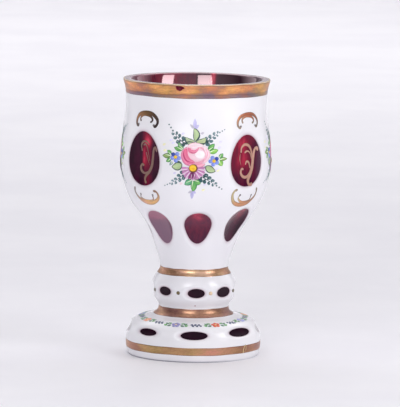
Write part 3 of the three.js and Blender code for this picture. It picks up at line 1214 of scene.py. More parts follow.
@dataclass
class Bowl:
    """The bowl: ruby glass with a rounded floor and lip, under the cut overlay."""

    outline: Outline
    wall: float = 4.75
    floor_height: float = 7.5
    floor_rounding: float = 7.0
    floor_spread: float = 8.7
    lip_rounding: float = 1.1
    lip_thinning: float = 0.7
    thinned: float = 13.0
    row: float = 1.2
    window: WheelCut = WheelCut(
        height=99.99, count=4, turn=44.69, depth=2.65, wheel=149.7, tilt=0.1, reach=18.0,
        breadth=17.0, half_width=10.9, half_height=13.4, lit=Lit.WINDOW, crown=275.0,
        slips=((0.3, -0.15, -0.1), (0.5, 0.2, 0.0), (-0.4, -0.2, 0.05), (-1.1, 0.4, 0.05)),
    )
    cup_cut: WheelCut = WheelCut(
        height=68.24, count=8, turn=4.26, depth=2.14, wheel=27.4, tilt=-0.7, reach=18.0,
        breadth=14.0, half_width=6.9, half_height=8.6, lit=Lit.CUP, crown=38.8,
        slips=(
            (-0.66, -0.2, 0.0), (5.06, 0.63, 0.32), (1.2, 0.1, 0.05), (-0.8, -0.3, 0.1),
            (0.6, 0.2, 0.0), (-1.5, 0.0, 0.1), (2.0, 0.2, -0.05), (-2.28, -0.45, 0.08),
        ),
    )

    def __post_init__(self) -> None:
        """Gathers the glass between the upper joint and the lip."""
        self.carving = Carving(self.outline, (self.window, self.cup_cut), Chip())
        low = self.outline.arc_at(self.outline.upper_joint)
        self.gather = Gather("bowl", self.carving, low, float(self.outline.arc[-1]), 0.35)

    def _cavity(self) -> list[Point]:
        """Lists the inside from the lip down to the floor.

        The wall is the outline moved in, a little less towards the lip, and quadratic curves
        round the lip and the floor.
        """
        top = self.outline.lip_top
        floor = self.outline.upper_joint + self.floor_height
        arcs = rows(self.gather.low, float(self.outline.arc[-1]), self.row)[::-1]
        radius, height, out_radial, out_height = self.outline.at(arcs)
        wall = self.wall - self.lip_thinning * step(height, top - self.thinned, top)
        inside = np.stack([radius - out_radial * wall, height - out_height * wall], 1)
        high, low = top - self.lip_rounding, floor + self.floor_rounding
        edge, below = np.interp([high, high - 1.0], inside[::-1, 1], inside[::-1, 0])
        inside = inside[(inside[:, 1] > low) & (inside[:, 1] < high - 0.3)]
        t = np.linspace(0.0, 1.0, 8)[:, None]
        rim = np.array([edge + (edge - below) * self.lip_rounding, top])
        flat = rim + np.array([self.lip_rounding, 0.0])
        lip = bowed(t, flat, rim, np.array([edge, high]))
        t = np.linspace(0.0, 1.0, 13)[1:, None]
        end, corner = inside[-1], np.array([inside[-1, 0], floor])
        bottom = np.array([self.floor_spread, floor])
        curve = bowed(t, end, corner, bottom)
        return [tuple(p) for p in np.concatenate([lip, inside, curve])]

    def _inside_light(self, points: Array) -> tuple[Array, Array]:
        """Gives the cavity's painted light, as if from the room behind, and a paler wash along the
        lip's top.
        """
        turn, height = np.arctan2(points[:, 0], -points[:, 1]), points[:, 2]
        glow = 0.3 + 0.14 * hill(turn, -2.75, 0.25) - 0.22 * step(turn, 0.4, 2.9)
        glow = glow + 0.1 * hill(turn, -2.1, 0.5)
        # a narrow red strip at the back right, painted as the reflection off the back of the ruby
        glow = glow + 0.85 * hill(turn, 2.88, 0.05) * step(height, 112.0, 134.0)
        top = self.outline.lip_top
        return glow, 0.8 * step(height, top - 0.2, top - 0.03)

    def build(self, milk: bpy.types.Material, ruby: bpy.types.Material) -> None:
        """Builds the overlay and the ruby core with its cavity, which has its own finish."""
        self.gather.casing(milk)
        solid, lattice = self.gather.core_skin()
        solid.pole(lattice.bottom, self.outline.upper_joint, last=False)
        first = solid.count
        solid.finish_now = 1
        inner = solid.rings(lattice.top, self._cavity())
        solid.pole(inner, self.outline.upper_joint + self.floor_height, last=True)
        cavity = np.arange(first, solid.count)
        glow, lip_and_reflection_wash = self._inside_light(np.concatenate(solid.points)[cavity])
        solid.value("glow", cavity, glow)
        solid.value("lip_and_reflection_wash", cavity, lip_and_reflection_wash)
        inside = RubyGlass(
            name="ruby_glass_inside", lip_and_reflection_wash="dcc6cc", index=2.35, mirror=(1.0, 0.71, 0.75)
        ).material()
        dress(solid.build("bowl_ruby_core", ruby, inside), "ruby_glass", "ruby_bowl")


@dataclass
class Knop:
    """The knop: a ball of solid ruby glass under the cut overlay."""

    outline: Outline
    cut: WheelCut = WheelCut(
        height=33.2, count=8, turn=2.25, depth=1.214, wheel=15.5, tilt=-1.1, reach=6.0,
        breadth=11.0, half_width=4.3, half_height=2.3, lit=Lit.DARK,
        slips=(
            (1.31, 0.0, 0.0), (0.66, 0.12, 0.09), (-0.8, 0.2, 0.0), (1.0, -0.1, -0.05),
            (0.0, 0.3, 0.0), (-1.2, 0.0, 0.1), (0.7, -0.2, 0.0), (-2.41, 0.7, -0.05),
        ),
    )

    def __post_init__(self) -> None:
        """Gathers the glass between the two joints."""
        low = self.outline.arc_at(self.outline.lower_joint)
        high = self.outline.arc_at(self.outline.upper_joint)
        self.gather = Gather("knop", Carving(self.outline, (self.cut,)), low, high)

    def build(self, milk: bpy.types.Material, ruby: bpy.types.Material) -> None:
        """Builds the overlay and the solid core."""
        self.gather.casing(milk)
        solid, lattice = self.gather.core_skin()
        solid.pole(lattice.bottom, self.outline.lower_joint, last=False)
        solid.pole(lattice.top, self.outline.upper_joint, last=True)
        dress(solid.build("knop_ruby_core", ruby), "ruby_glass", "ruby_knop")


@dataclass
class Foot:
    """The foot: a spread dome of ruby glass, hollow underneath, under the cut overlay."""

    outline: Outline
    wall: float = 4.2
    crown_drop: float = 5.5
    dome_fullness: float = 13.0
    dome_spread: float = 16.7
    hollow_glow: float = 0.25
    cut: WheelCut = WheelCut(
        height=14.16, count=8, turn=0.67, depth=1.433, wheel=6.3, tilt=-0.1, reach=4.5,
        breadth=14.0, half_width=7.05, half_height=2.4, lit=Lit.DARK,
        slips=(
            (0.16, -0.4, 0.0), (1.25, 0.8, 0.1), (-0.7, 0.1, 0.05), (0.5, -0.2, 0.1),
            (-0.4, 0.2, 0.0), (0.8, 0.0, -0.1), (0.0, -0.1, 0.1), (-0.56, -0.1, -0.2),
        ),
    )

    def __post_init__(self) -> None:
        """Gathers the glass between the base and the lower joint."""
        high = self.outline.arc_at(self.outline.lower_joint)
        self.gather = Gather("foot", Carving(self.outline, (self.cut,)), 0.0, high)

    def _underside(self, edge: float) -> tuple[list[Point], float]:
        """Lists the hollow's profile from the crown to the ground ring: a cubic curve."""
        crown = self.outline.lower_joint - self.crown_drop
        rim = edge - self.wall
        t = np.linspace(0.0, 1.0, 33)[1:, None]
        a, b = np.array([0.0, crown]), np.array([self.dome_spread, crown])
        c, d = np.array([rim, self.dome_fullness]), np.array([rim, 0.0])
        return [tuple(p) for p in bowed(t, a, b, c, d)], crown

    def build(self, milk: bpy.types.Material, ruby: bpy.types.Material) -> None:
        """Builds the overlay and the domed core."""
        self.gather.casing(milk)
        solid, lattice = self.gather.core_skin()
        edge = float(np.linalg.norm(np.concatenate(solid.points)[lattice.bottom[0], :2]))
        profile, crown = self._underside(edge)
        first = solid.count
        start = solid.ring(*profile[0])
        solid.pole(start, crown, last=False)
        ground = solid.rings(start, [*profile[1:], (edge, 0.0)])
        solid.strip(ground, lattice.bottom)
        solid.pole(lattice.top, self.outline.lower_joint, last=True)
        hollow = np.arange(first, solid.count)
        # the hollow underneath is given an even painted light
        solid.value("glow", hollow, np.full(len(hollow), self.hollow_glow))
        dress(solid.build("foot_ruby_core", ruby), "ruby_glass", "ruby_foot")


# --- Gilding


@dataclass(frozen=True)
class RubAndSheen:
    """A place on a gilt band that is rubbed bright or dull, and redder or greener; the bright ones
    where the lamps' highlights fall are painted highlights.
    """

    turn: float
    spread: float
    rise: float
    bright: float
    red: float = 0.0


@dataclass
class GiltBand:
    """A band of fired gold round the glass, a film that thins towards its painted edges."""

    name: str
    node: str
    outline: Outline
    finish: FiredGilding
    proud: float = 0.1
    buried: float = 0.12
    bead: float = 0.0
    chip: Chip | None = None
    rubs_and_sheen: tuple[RubAndSheen, ...] = ()
    spill: float = 0.0
    edge: float = 0.3
    border: float = 0.4
    groove: float = 0.09
    bead_drop: float = 0.04
    rub_and_sheen_height: float = 0.55
    sway: tuple[Wave, ...] = ((0.05, 13, 0.0),)
    ragged: tuple[Wave, ...] = ((0.5, 3, 0.7), (0.35, 8, 2.0))

    def _rubbed_and_lit(self, turn: Array, share: Array) -> tuple[Array, Array]:
        """Adds up the rubbed places and the painted highlights, bell curves over turn and rise.

        Args:
            turn: Radians about the axis.
            share: Height in the band, 0 at its lower edge and 1 at its upper one.

        Returns:
            How bright and how red each place is.
        """
        bright, red = np.zeros_like(turn), np.zeros_like(turn)
        for rub_and_sheen in self.rubs_and_sheen:
            here = hill(wrapped(turn - math.radians(rub_and_sheen.turn)), 0.0, math.radians(rub_and_sheen.spread))
            bright = bright + rub_and_sheen.bright * here * hill(share, rub_and_sheen.rise, self.rub_and_sheen_height)
            red = red + rub_and_sheen.red * here
        return bright, red

    def _depth(self, rise: Array, high: float) -> Array:
        """Gives the film's depth over the glass.

        It is -proud sqrt(1 - (1 - n)^2), where n runs from 0 at each edge to 1 at the edge's
        width. Over the lower bead there is a fine groove, and the bead itself is thinner.

        Args:
            rise: Arc length above the band's lower edge.
            high: The band's whole arc length.

        Returns:
            The depth; negative stands proud of the glass.
        """
        near = np.clip(np.minimum(rise, high - rise) / self.edge, 0.0, 1.0)
        depth = -self.proud * np.sqrt(1 - (1 - near) ** 2)
        if self.bead:
            groove = self.groove * hill(rise, self.bead, 0.25)
            depth = depth + groove + self.bead_drop * (rise < self.bead)
        return depth

    def build(self) -> None:
        """Builds the band over the heights of its node."""
        low_corner, high_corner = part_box(self.node)
        low = self.outline.arc_at(low_corner.z / MM) - self.spill
        high = self.outline.arc_at(high_corner.z / MM)
        lattice = Lattice(rows(low, high, FINE_ROW))
        level = np.ones(len(lattice.turn))
        if self.chip:

            def broken(turn: Array, arc: Array) -> Array:
                """Is above zero inside the chip."""
                return self.chip.inside(self.outline, turn, arc)

            level = lattice.split(broken)
            lattice.drop(broken)
        turn, rise, width = lattice.turn, lattice.arc - low, high - low
        sway = waves(turn, (0.07, 5, low), *self.sway)
        arc = lattice.arc + sway * np.abs(2 * rise / width - 1) ** 6
        solid = Solid()
        outer, inner = solid.shell(
            lattice,
            self.outline.place(turn, arc, self._depth(rise, width)),
            self.outline.place(turn, arc, self.buried),
        )
        if self.chip:
            solid.wall(outer, inner, lattice.faces, level == 0)
        near = np.minimum(rise, width - rise) / self.border
        # a dark line painted along the groove over the bead, as its shadow
        line = 0.6 * hill(rise, self.bead, 0.22)
        solid.value("edge", outer, np.maximum(np.clip(1 - near, 0.0, 1.0), line))
        for key, amounts in zip(("rub_and_sheen", "red"), self._rubbed_and_lit(turn, rise / width)):
            solid.value(key, outer, amounts)
        if self.bead:
            ragged = self.bead + waves(turn, *self.ragged)
            worn = step(-rise, -1.35 * ragged - 0.5, -0.9 * ragged + 0.2)
            solid.value("worn", outer, worn)
        band = solid.build(self.name, self.finish.material(), crease=60.0)
        dress(band, "fired_gilding", self.node)


# --- Painting


class Brush(Enum):
    """How a stroke's half width runs from its start to its end, as a share of the widest."""

    ROUND = "round"
    LEAF = "leaf"
    PETAL = "petal"
    TAPER = "taper"
    SCROLL = "scroll"
    CRESCENT = "crescent"

    def profile(self, t: Array) -> Array:
        """Gives the half width's share at each place along the stroke."""
        ends = np.sqrt(np.clip(1 - (2 * t - 1) ** 8, 0.0, 1.0))
        match self:
            case Brush.ROUND:
                return np.sqrt(np.clip(1 - (2 * t - 1) ** 2, 0.0, 1.0))
            case Brush.LEAF:
                return np.sin(math.pi * t**0.85) ** 0.8
            case Brush.PETAL:
                return np.sqrt(np.clip(t, 0.0, 1.0)) * np.sqrt(np.clip(1 - t**5, 0.0, 1.0))
            case Brush.TAPER:
                return (1 - 0.8 * t) * ends
            case Brush.SCROLL:
                bulbs = hill(t, 0.045, 0.05) + hill(t, 0.955, 0.05)
                return (0.5 + 0.42 * np.sin(math.pi * t) ** 1.6 + 0.4 * bulbs) * ends
            case Brush.CRESCENT:
                bulbs = hill(t, 0.045, 0.045) + hill(t, 0.955, 0.045)
                return (0.42 + 0.56 * np.sin(math.pi * t) ** 3 + 0.34 * bulbs) * ends
        raise ValueError(self)


def toward(degrees: float) -> Array:
    """Gives the unit vector across and up at an angle from the right."""
    return np.array([math.cos(math.radians(degrees)), math.sin(math.radians(degrees))])


def left_of(way: Array) -> Array:
    """Turns vectors across and up a quarter turn to their left."""
    return np.stack([-way[..., 1], way[..., 0]], -1)


def headings(path: Array) -> Array:
    """Gives the unit vector along a path at each of its points."""
    way = np.gradient(path, axis=0)
    return way / np.maximum(np.linalg.norm(way, axis=1, keepdims=True), 1e-9)


def spline(points: Sequence[Point], count: int) -> Array:
    """Runs a smooth curve through points.

    Each span is ((2b) + (c-a)t + (2a-5b+4c-d)t^2 + (3b-a-3c+d)t^3) / 2 for the four points round
    it, with the ends reflected.

    Args:
        points: Two or more points across and up.
        count: How many points to give.

    Returns:
        The curve's points at even parameters.
    """
    knots = np.array(points, float)
    knots = np.concatenate([[2 * knots[0] - knots[1]], knots, [2 * knots[-1] - knots[-2]]])
    spans = len(knots) - 3
    t = np.linspace(0.0, spans, count)
    base = np.minimum(t.astype(int), spans - 1)
    t = (t - base)[:, None]
    a, b, c, d = (knots[base + k] for k in range(4))
    square, cube = 2 * a - 5 * b + 4 * c - d, 3 * b - a - 3 * c + d
    return 0.5 * (2 * b + (c - a) * t + square * t**2 + cube * t**3)


@dataclass
class Painting:
    """Brush strokes on the glass: thin domed solids that follow the surface and its cuts."""

    name: str
    carving: Carving
    seed: int
    solid: Solid = field(default_factory=Solid)

    LEAF_EDGE = 1.14  # a leaf's dark border over its half width
    LEAF_FILL = 0.76  # its fill over the border

    def __post_init__(self) -> None:
        """Starts the painter's small variations."""
        self.random = np.random.default_rng(self.seed)
        self.height_so_far = 0.0

    def aim(self, turn: float, height: float) -> None:
        """Sets the motif's middle on the glass.

        Args:
            turn: Degrees about the axis.
            height: Millimetres above the base.
        """
        self.turn = math.radians(turn)
        self.arc = self.carving.outline.arc_at(height)
        self.radius = self.carving.outline.radius_at(self.arc)

    def stroke(
        self,
        points: Sequence[Point],
        half_width: float,
        brush: Brush,
        inks: Sequence[str],
        lift: float = 0.03,
        thick: float = 0.07,
        around: int = 8,
        along: int = 12,
    ) -> None:
        """Lays one stroke.

        Its section is a flattened ring: across = w cos a, height = lift + h sin a, a third as
        deep below as above; w and h follow the brush. It closes to a point at both ends.

        Args:
            points: The stroke's path, across and up from the motif's middle.
            half_width: Half its widest width.
            brush: How the width runs.
            inks: Colour codes along the stroke, two or more, and last the edges'.
            lift: How far the stroke's middle stands off the glass.
            thick: How far it is domed.
            around: Points round the section.
            along: Stations along the path.
        """
        path = spline(points, along)
        t = np.linspace(0.0, 1.0, along)
        width = brush.profile(t)
        angle = np.arange(around) * TAU / around
        across, rise = np.cos(angle), np.sin(angle)
        aside = half_width * width[:, None, None] * across[:, None]
        spot = path[:, None] + left_of(headings(path))[:, None] * aside
        dome = np.where(rise > 0, rise, rise * 0.3) * thick
        height = lift + dome * np.sqrt(width)[:, None]
        turn = self.turn + spot[..., 0] / self.radius
        arc = self.arc + spot[..., 1]
        depth = self.carving.hollow(turn, arc) - height
        grid = self.carving.outline.place(turn, arc, depth)
        colours = self._colours(t, np.abs(across), inks)
        points_in = [grid[:1, 0], grid[1:-1].reshape(-1, 3), grid[-1:, 0]]
        index = self.solid.add(np.concatenate(points_in))
        flat = [colours[:1, 0], colours[1:-1].reshape(-1, 4), colours[-1:, 0]]
        self.solid.value("paint", index, np.concatenate(flat))
        self._skin(index, along, around)

    def _colours(self, t: Array, across: Array, inks: Sequence[str]) -> Array:
        """Blends the colours along the stroke, and to the edge colour across it."""
        *spine, edge = (np.array(linear(ink)) for ink in inks)
        knots = np.linspace(0.0, 1.0, len(spine))
        core = np.stack([np.interp(t, knots, band) for band in np.array(spine).T], 1)[:, None]
        border = (across**3)[None, :, None]
        streak = 1 + 0.07 * self.random.standard_normal((1, len(across), 1))
        colours = (core * (1 - border) + edge * border) * streak
        return np.concatenate([np.clip(colours, 0, 1), np.ones((*colours.shape[:2], 1))], 2)

    def _skin(self, index: Array, along: int, around: int) -> None:
        """Joins a stroke's rings and closes its ends."""
        ring = index[1:-1].reshape(along - 2, around)
        after = np.roll(ring, -1, 1)
        a, b, c, d = ring[:-1].ravel(), after[:-1].ravel(), after[1:].ravel(), ring[1:].ravel()
        first, last = np.full(around, index[0]), np.full(around, index[-1])
        sides = ((a, c, b), (a, d, c))
        ends = ((first, ring[0], after[0]), (last, after[-1], ring[-1]))
        self.solid.triangles(np.concatenate([np.stack(face, 1) for face in sides + ends]))

    def dab(self, middle: Point, size: Point, inks: Sequence[str], **how: float) -> None:
        """Lays a round dab of a half width and half height."""
        (x, y), (w, h) = middle, size
        self.stroke([(x - w, y), (x, y), (x + w, y)], h, Brush.ROUND, inks, **how)

    def leaf(
        self,
        base: Point,
        tip: Point,
        half: float,
        inks: Inks,
        bow: float = 0.12,
        lift: float = 0.03,
    ) -> None:
        """Lays a leaf with a dark border.

        Args:
            base: Where it starts.
            tip: Where it ends.
            half: Half its widest width.
            inks: Its fill, the light of its middle and its border.
            bow: How far it bends to the left, as a share of its length.
            lift: How far it stands off the glass.
        """
        start, along = np.array(base), np.array(tip) - np.array(base)
        middle = start + along / 2 + left_of(along) * bow
        fill, light, border = inks
        half *= self.LEAF_EDGE
        self.stroke([base, middle, tip], half, Brush.LEAF, (border,) * 3, lift, 0.05, along=10)
        inner = [start + along * 0.06, middle, start + along * 0.93]
        inks = (fill, light, fill)
        self.stroke(inner, half * self.LEAF_FILL, Brush.LEAF, inks, lift + 0.03, 0.05, along=10)

    def climb(self, rise: float) -> float:
        """Raises the next strokes a little over the last ones and gives the height so far."""
        self.height_so_far += rise
        return self.height_so_far

    def finish(self, material: bpy.types.Material, slot: str, *nodes: str) -> None:
        """Builds the painting's one mesh."""
        dress(self.solid.build(self.name, material, crease=80.0), slot, *nodes)


SMALL = {"along": 7, "around": 6}  # the mesh of a small stroke


def mixed(a: Inks, b: Inks, share: float) -> Inks:
    """Mixes two sets of colour codes."""

    def mix(x: str, y: str) -> str:
        """Mixes two codes digit pair by digit pair."""
        pairs = ((int(x[i : i + 2], 16), int(y[i : i + 2], 16)) for i in (0, 2, 4))
        return "".join(f"{round(p + (q - p) * share):02x}" for p, q in pairs)

    return tuple(mix(x, y) for x, y in zip(a, b))


@dataclass
class FlowerSpray:
    """One spray between two windows: a rose over a daisy, with buds, leaves and ferns."""

    carving: Carving
    number: int
    turn: float
    height: float = 104.0
    pale: Inks = ("a8c08e", "c0d2a2", "3f5654")
    bright: Inks = ("52a055", "8acb70", "3f8450")
    olive: Inks = ("7f9f58", "a5bd78", "55743e")
    lime: Inks = ("86c95a", "b4e27c", "5aa848")
    sea: Inks = ("58a878", "84c894", "367f60")
    fern: Inks = ("23484e", "356264", "234449")
    fern_tip: Inks = ("7f9aa4", "93aab2", "869da6")
    blue: Inks = ("6f84dc", "9fb0f0", "6a7fd6")
    night: Inks = ("2a3f98", "3f58b8", "263a8c")
    yellow: Inks = ("f4c41c", "fadb48", "d99a1a")
    lilac: Inks = ("b5b0e0", "d2cef2", "c3beea")
    fern_pairs: tuple[int, ...] = (1, 6, 11, 15)
    fern_dots: tuple[int, ...] = (18, 21, 24)
    heart: Point = (0.0, -5.4)
    petals: int = 17
    dark_petals: tuple[int, ...] = (6, 7, 9)
    first_petal: float = 178.0
    petal_pitch: float = 11.6
    petal_reach: Point = (1.6, 6.3)

    def build(self, material: bpy.types.Material) -> None:
        """Paints the spray from the back strokes to the front ones."""
        p = Painting(f"enamel_spray_{self.number}", self.carving, 40 + self.number)
        p.aim(self.turn, self.height)
        self._ferns(p)
        self._buds(p)
        self._leaves(p)
        self._rose(p)
        self._daisy(p)
        self._forget_me_nots(p)
        p.finish(material, "painted_enamel")

    def _ferns(self, p: Painting) -> None:
        """Runs a fern along each diagonal: pairs of curled leaflets, then dots."""
        for stem, bulk, fade in (
            ([(-4.2, 6.4), (-8.6, 10.2), (-13.2, 15.9)], 1.08, 0.0),
            ([(6.2, 7.4), (11.0, 10.9), (16.4, 13.7)], 0.85, 0.35),
            ([(-4.6, -8.6), (-9.2, -12.2), (-14.8, -14.8)], 0.85, 0.3),
            ([(4.6, -9.8), (9.4, -12.6), (15.2, -16.2)], 1.0, 0.0),
        ):
            path = spline(stem, 25)
            ahead = headings(path)
            inks = mixed(self.fern, self.fern_tip, fade)
            p.stroke(path[:18:4], 0.24 * bulk, Brush.TAPER, inks, along=18, around=6)
            for k, at in enumerate(self.fern_pairs):
                inks = mixed(self.fern, self.fern_tip, min(1.0, fade + 0.16 * k))
                self._leaflets(p, path[at], ahead[at], bulk * (1.22 - 0.19 * k), inks)
            inks = mixed(self.fern, self.fern_tip, 0.3 + fade)
            for at in self.fern_dots:
                dot = 0.74 * bulk * (1.15 - at / 40)
                p.dab(path[at], (dot, dot * 0.85), inks, along=6, around=6)

    def _leaflets(self, p: Painting, place: Array, ahead: Array, size: float, inks: Inks) -> None:
        """Lays a curled leaflet at each side of a fern's stem, with a light on the left one."""
        for side in (-1, 1):
            base = place + ahead * (0.55 if side > 0 else -0.45)
            out = base + (left_of(ahead) * side * 1.2 - ahead * 0.2) * size
            tip = base + (left_of(ahead) * side * 1.7 + ahead * 1.2) * size
            wobble = p.random.uniform(-0.15, 0.15, (2, 2))
            points = [base, out + wobble[0], tip + wobble[1]]
            p.stroke(points, 1.06 * size, Brush.PETAL, inks, along=12)
            if side > 0:
                pale = mixed(inks, ("d4dede", "dfe7e7", "c4d2d2"), 0.5)
                p.stroke(points[1:], 0.22 * size, Brush.LEAF, pale, 0.1, 0.03, 6, 6)

    def _buds(self, p: Painting) -> None:
        """Puts a lilac bud at the top and one at the bottom, with faint dabs beside the ferns."""
        grey = ("bdb9c8", "d4d0dc", "cbc7d6")
        for base, tips in (
            ((0.6, 14.2), [(-2.0, 16.4), (2.7, 16.2), (0.6, 19.3)]),
            ((-0.3, -17.2), [(-2.6, -18.3), (1.6, -18.4), (-0.6, -21.6)]),
        ):
            for number, tip in enumerate(tips):
                inks = self.lilac if number else grey
                p.stroke([base, tip], 0.75 + 0.2 * (number == 2), Brush.LEAF, inks, 0.02, 0.05)
        faint, cream = ("dad6f0", "e6e2f6", "dfdbf4"), ("f0ebb8", "f6f2cc", "f2edc0")
        blush = ("f6dce4", "f9e6ec", "f8e2e9")
        for x, y, ink in (
            (-11.6, 8.2, faint), (-10.4, 6.9, faint), (14.0, 7.6, faint), (13.4, 4.8, faint),
            (-9.2, -8.2, faint), (6.0, -13.6, faint), (12.0, -6.0, faint), (-15.2, 5.9, cream),
            (-14.6, 3.0, cream), (5.4, -16.6, cream), (12.6, -6.6, cream), (10.8, 9.6, blush),
            (-6.0, -13.4, blush), (-5.4, 11.6, faint), (4.6, 12.0, grey),
        ):
            dash = [(x - 0.9, y - 0.3), (x + 0.9, y + 0.4)]
            p.stroke(dash, 0.6, Brush.LEAF, ink, 0.01, 0.03, **SMALL)

    def _leaves(self, p: Painting) -> None:
        """Sets the pale leaves above and beside, and the bright leaflets round the flowers."""
        p.leaf((0.9, 7.5), (-4.4, 10.0), 1.45, ("a8bd92", "bccca4", "4a6660"), 0.18)
        p.leaf((1.1, 7.5), (6.9, 10.0), 1.5, ("b2c490", "ccd8aa", "4a6660"), -0.18)
        p.leaf((0.9, 7.7), (0.2, 14.8), 1.6, self.pale, -0.14)
        dark = ("33504f", "33504f", "2b4546")
        for path, half in (
            ([(0.7, 7.4), (3.0, 11.2), (1.2, 14.4)], 0.26),
            ([(-4.6, 7.1), (-2.0, 7.7), (0.9, 7.2)], 0.36),
            ([(0.9, 7.2), (3.9, 6.8), (6.6, 7.3)], 0.36),
            ([(6.0, 8.2), (7.0, 7.9), (7.3, 6.8)], 0.75),
            ([(-5.2, 7.5), (-4.8, 6.6), (-4.4, 5.4)], 0.8),
            ([(3.0, -4.9), (4.6, -5.2), (6.3, -4.5)], 0.3),
            ([(-9.6, -2.5), (-7.4, -2.2), (-5.4, -3.2)], 0.34),
        ):
            p.stroke(path, half, Brush.LEAF, dark, 0.07)
        p.leaf((-5.4, -3.5), (-10.9, -5.1), 1.9, self.pale, 0.08)
        p.leaf((6.2, -4.2), (11.4, -7.1), 1.65, self.pale, -0.08)
        for base, tip, half, inks in (
            ((-5.0, 3.9), (-7.8, 7.4), 0.95, self.bright),
            ((-5.4, 3.6), (-9.9, 4.7), 1.0, self.bright),
            ((-11.4, 0.5), (-15.9, 0.4), 1.05, self.olive),
            ((-11.2, 1.1), (-13.4, 3.2), 0.8, self.bright),
            ((-11.2, -0.7), (-13.9, -2.6), 0.85, self.bright),
            ((-10.4, -2.4), (-12.0, -4.4), 0.6, self.fern_tip),
            ((7.4, 3.4), (10.8, 6.8), 1.1, self.bright),
            ((8.0, 2.5), (12.7, 3.7), 1.05, self.lime),
            ((13.0, -0.3), (15.2, 1.9), 0.85, self.bright),
            ((13.2, -1.2), (17.4, -0.7), 0.75, self.olive),
            ((12.9, -1.6), (14.7, -4.4), 1.15, self.lime),
            ((-0.5, -11.5), (-4.3, -14.0), 1.3, self.sea),
            ((0.8, -11.5), (4.0, -13.3), 1.3, self.bright),
            ((0.0, -11.7), (0.0, -17.7), 1.3, self.bright),
        ):
            p.leaf(base, tip, half * 1.1, inks, p.random.uniform(-0.08, 0.08), 0.04)
            start, along = np.array(base), np.array(tip) - np.array(base)
            end = start + 0.7 * along + left_of(along) * p.random.choice([-0.12, 0.12])
            light = ("f4faea", "dcf0c4", "c8e4ac")
            p.stroke([base, end], 0.34, Brush.TAPER, light, 0.12, **SMALL)

    def _rose(self, p: Painting) -> None:
        """Builds the rose from its outer petals to its heart."""
        ground = ("ee9cba", "f8ccda", "eba6bd")
        p.dab((0.9, 1.0), (6.5, 4.7), ground, lift=0.08, thick=0.1, around=16, along=18)
        for path, half, inks in (
            ([(-3.2, 5.2), (-5.1, 1.6), (-3.8, -2.4), (-0.6, -4.1)],
             1.15, ("f3a4c0", "e67ca4", "d66492")),
            ([(-2.4, -3.5), (1.8, -4.5), (6.0, -3.3)], 1.1, ("f3a3be", "f7b9cc", "e27a9c")),
            ([(5.2, 5.6), (7.3, 1.4), (5.4, -2.9)], 1.15, ("f8e4ec", "f6ccd9", "eeb4c6")),
            ([(-3.0, 5.1), (0.4, 6.1), (5.2, 5.7)], 1.25, ("f8d6e2", "fdf0f5", "efb4c8")),
            ([(-2.6, 2.4), (1.6, 1.4), (5.9, 1.6)], 3.5, ("f6c6d6", "fdeef4", "f7cfdc")),
            ([(-3.5, 4.4), (-4.0, 1.2), (-2.2, -1.6), (0.8, -2.6)],
             1.35, ("e9688f", "f090b2", "d24e80")),
            ([(0.8, 1.9), (3.4, 1.3), (5.6, 2.2)], 2.4, ("fceaf1", "ffffff", "f9dce6")),
            ([(-4.6, 3.6), (-4.7, 0.9), (-3.2, -1.7), (0.9, -2.9)],
             0.42, ("cf4a7e", "b23068", "c64c7c")),
            ([(-2.6, 4.9), (-1.3, 3.0), (1.0, 2.9), (2.9, 4.9)],
             0.95, ("ee7ba2", "f49bb8", "da5684")),
            ([(-1.9, 3.1), (-0.2, 2.15), (1.8, 2.7)], 0.26, ("b83c6c", "c9527f", "c04474")),
            ([(-1.5, 5.2), (0.6, 4.5), (2.6, 5.5)], 0.75, ("f9d4e0", "fdeaf1", "f8cedb")),
            ([(6.3, 4.6), (7.0, 1.2), (5.2, -2.2)], 0.2, ("f2a6bf", "ee93b0", "f2a6bf")),
            ([(0.9, -2.9), (3.2, -2.5), (5.4, -0.6)], 0.34, ("e88fae", "f4b8ca", "ee9fba")),
        ):
            lift = p.climb(0.012)
            brush = Brush.ROUND if half > 1 else Brush.LEAF
            p.stroke(path, half, brush, inks, 0.13 + lift, 0.07, 12, 18)

    def _daisy(self, p: Painting) -> None:
        """Sets the daisy's petals, its purple throat and its ringed yellow heart."""
        near, far = self.petal_reach
        mauve, deep = ("c47ab2", "d294c4", "a85698"), ("8c3474", "a04888", "742660")
        light, gleam = ("dcaed2", "ecd0e4", "c78abc"), ("fae8f4",) * 3
        for k in range(self.petals):
            way = toward(self.first_petal + self.petal_pitch * k + p.random.uniform(-2, 2))
            base = self.heart + way * near
            tip = self.heart + way * far * p.random.uniform(0.93, 1.04)
            inks = deep if k in self.dark_petals else (mauve, light)[k % 2]
            p.stroke([base, tip], 0.68, Brush.PETAL, inks, 0.34 + 0.004 * k, 0.06, along=9)
            if k % 2:
                p.stroke([base + way, tip], 0.17, Brush.TAPER, gleam, 0.45, along=6, around=6)
        throat = ("5c1f4c", "7a3068", "6a2858")
        p.stroke([(-0.2, -7.0), (-0.3, -10.6)], 0.62, Brush.LEAF, throat, 0.44)
        p.dab((0.1, -5.5), (2.25, 2.1), ("8a5a1e", "6d4416", "5c4420"), lift=0.44, around=12)
        p.dab((-0.1, -5.3), (1.8, 1.65), self.yellow, lift=0.5, around=12)
        p.dab((0.3, -5.6), (0.8, 0.65), ("e8a51a", "f0b828", "f4c424"), lift=0.57)

    def _forget_me_nots(self, p: Painting) -> None:
        """Sets a small blue flower at each side of the rose, with one petal dark."""
        for middle, dark in (((-8.9, -0.1), 130.0), ((10.4, -1.8), 42.0)):
            for k in range(5):
                way = toward(dark + 72.0 * k + p.random.uniform(-5, 5))
                inks = self.blue if k else self.night
                spot = np.array(middle) + way * 1.75
                p.dab(spot, (1.12, 1.0), inks, lift=0.1 + 0.005 * k, along=9, around=10)
            p.dab(middle, (0.95, 0.85), self.yellow, lift=0.2, along=8)


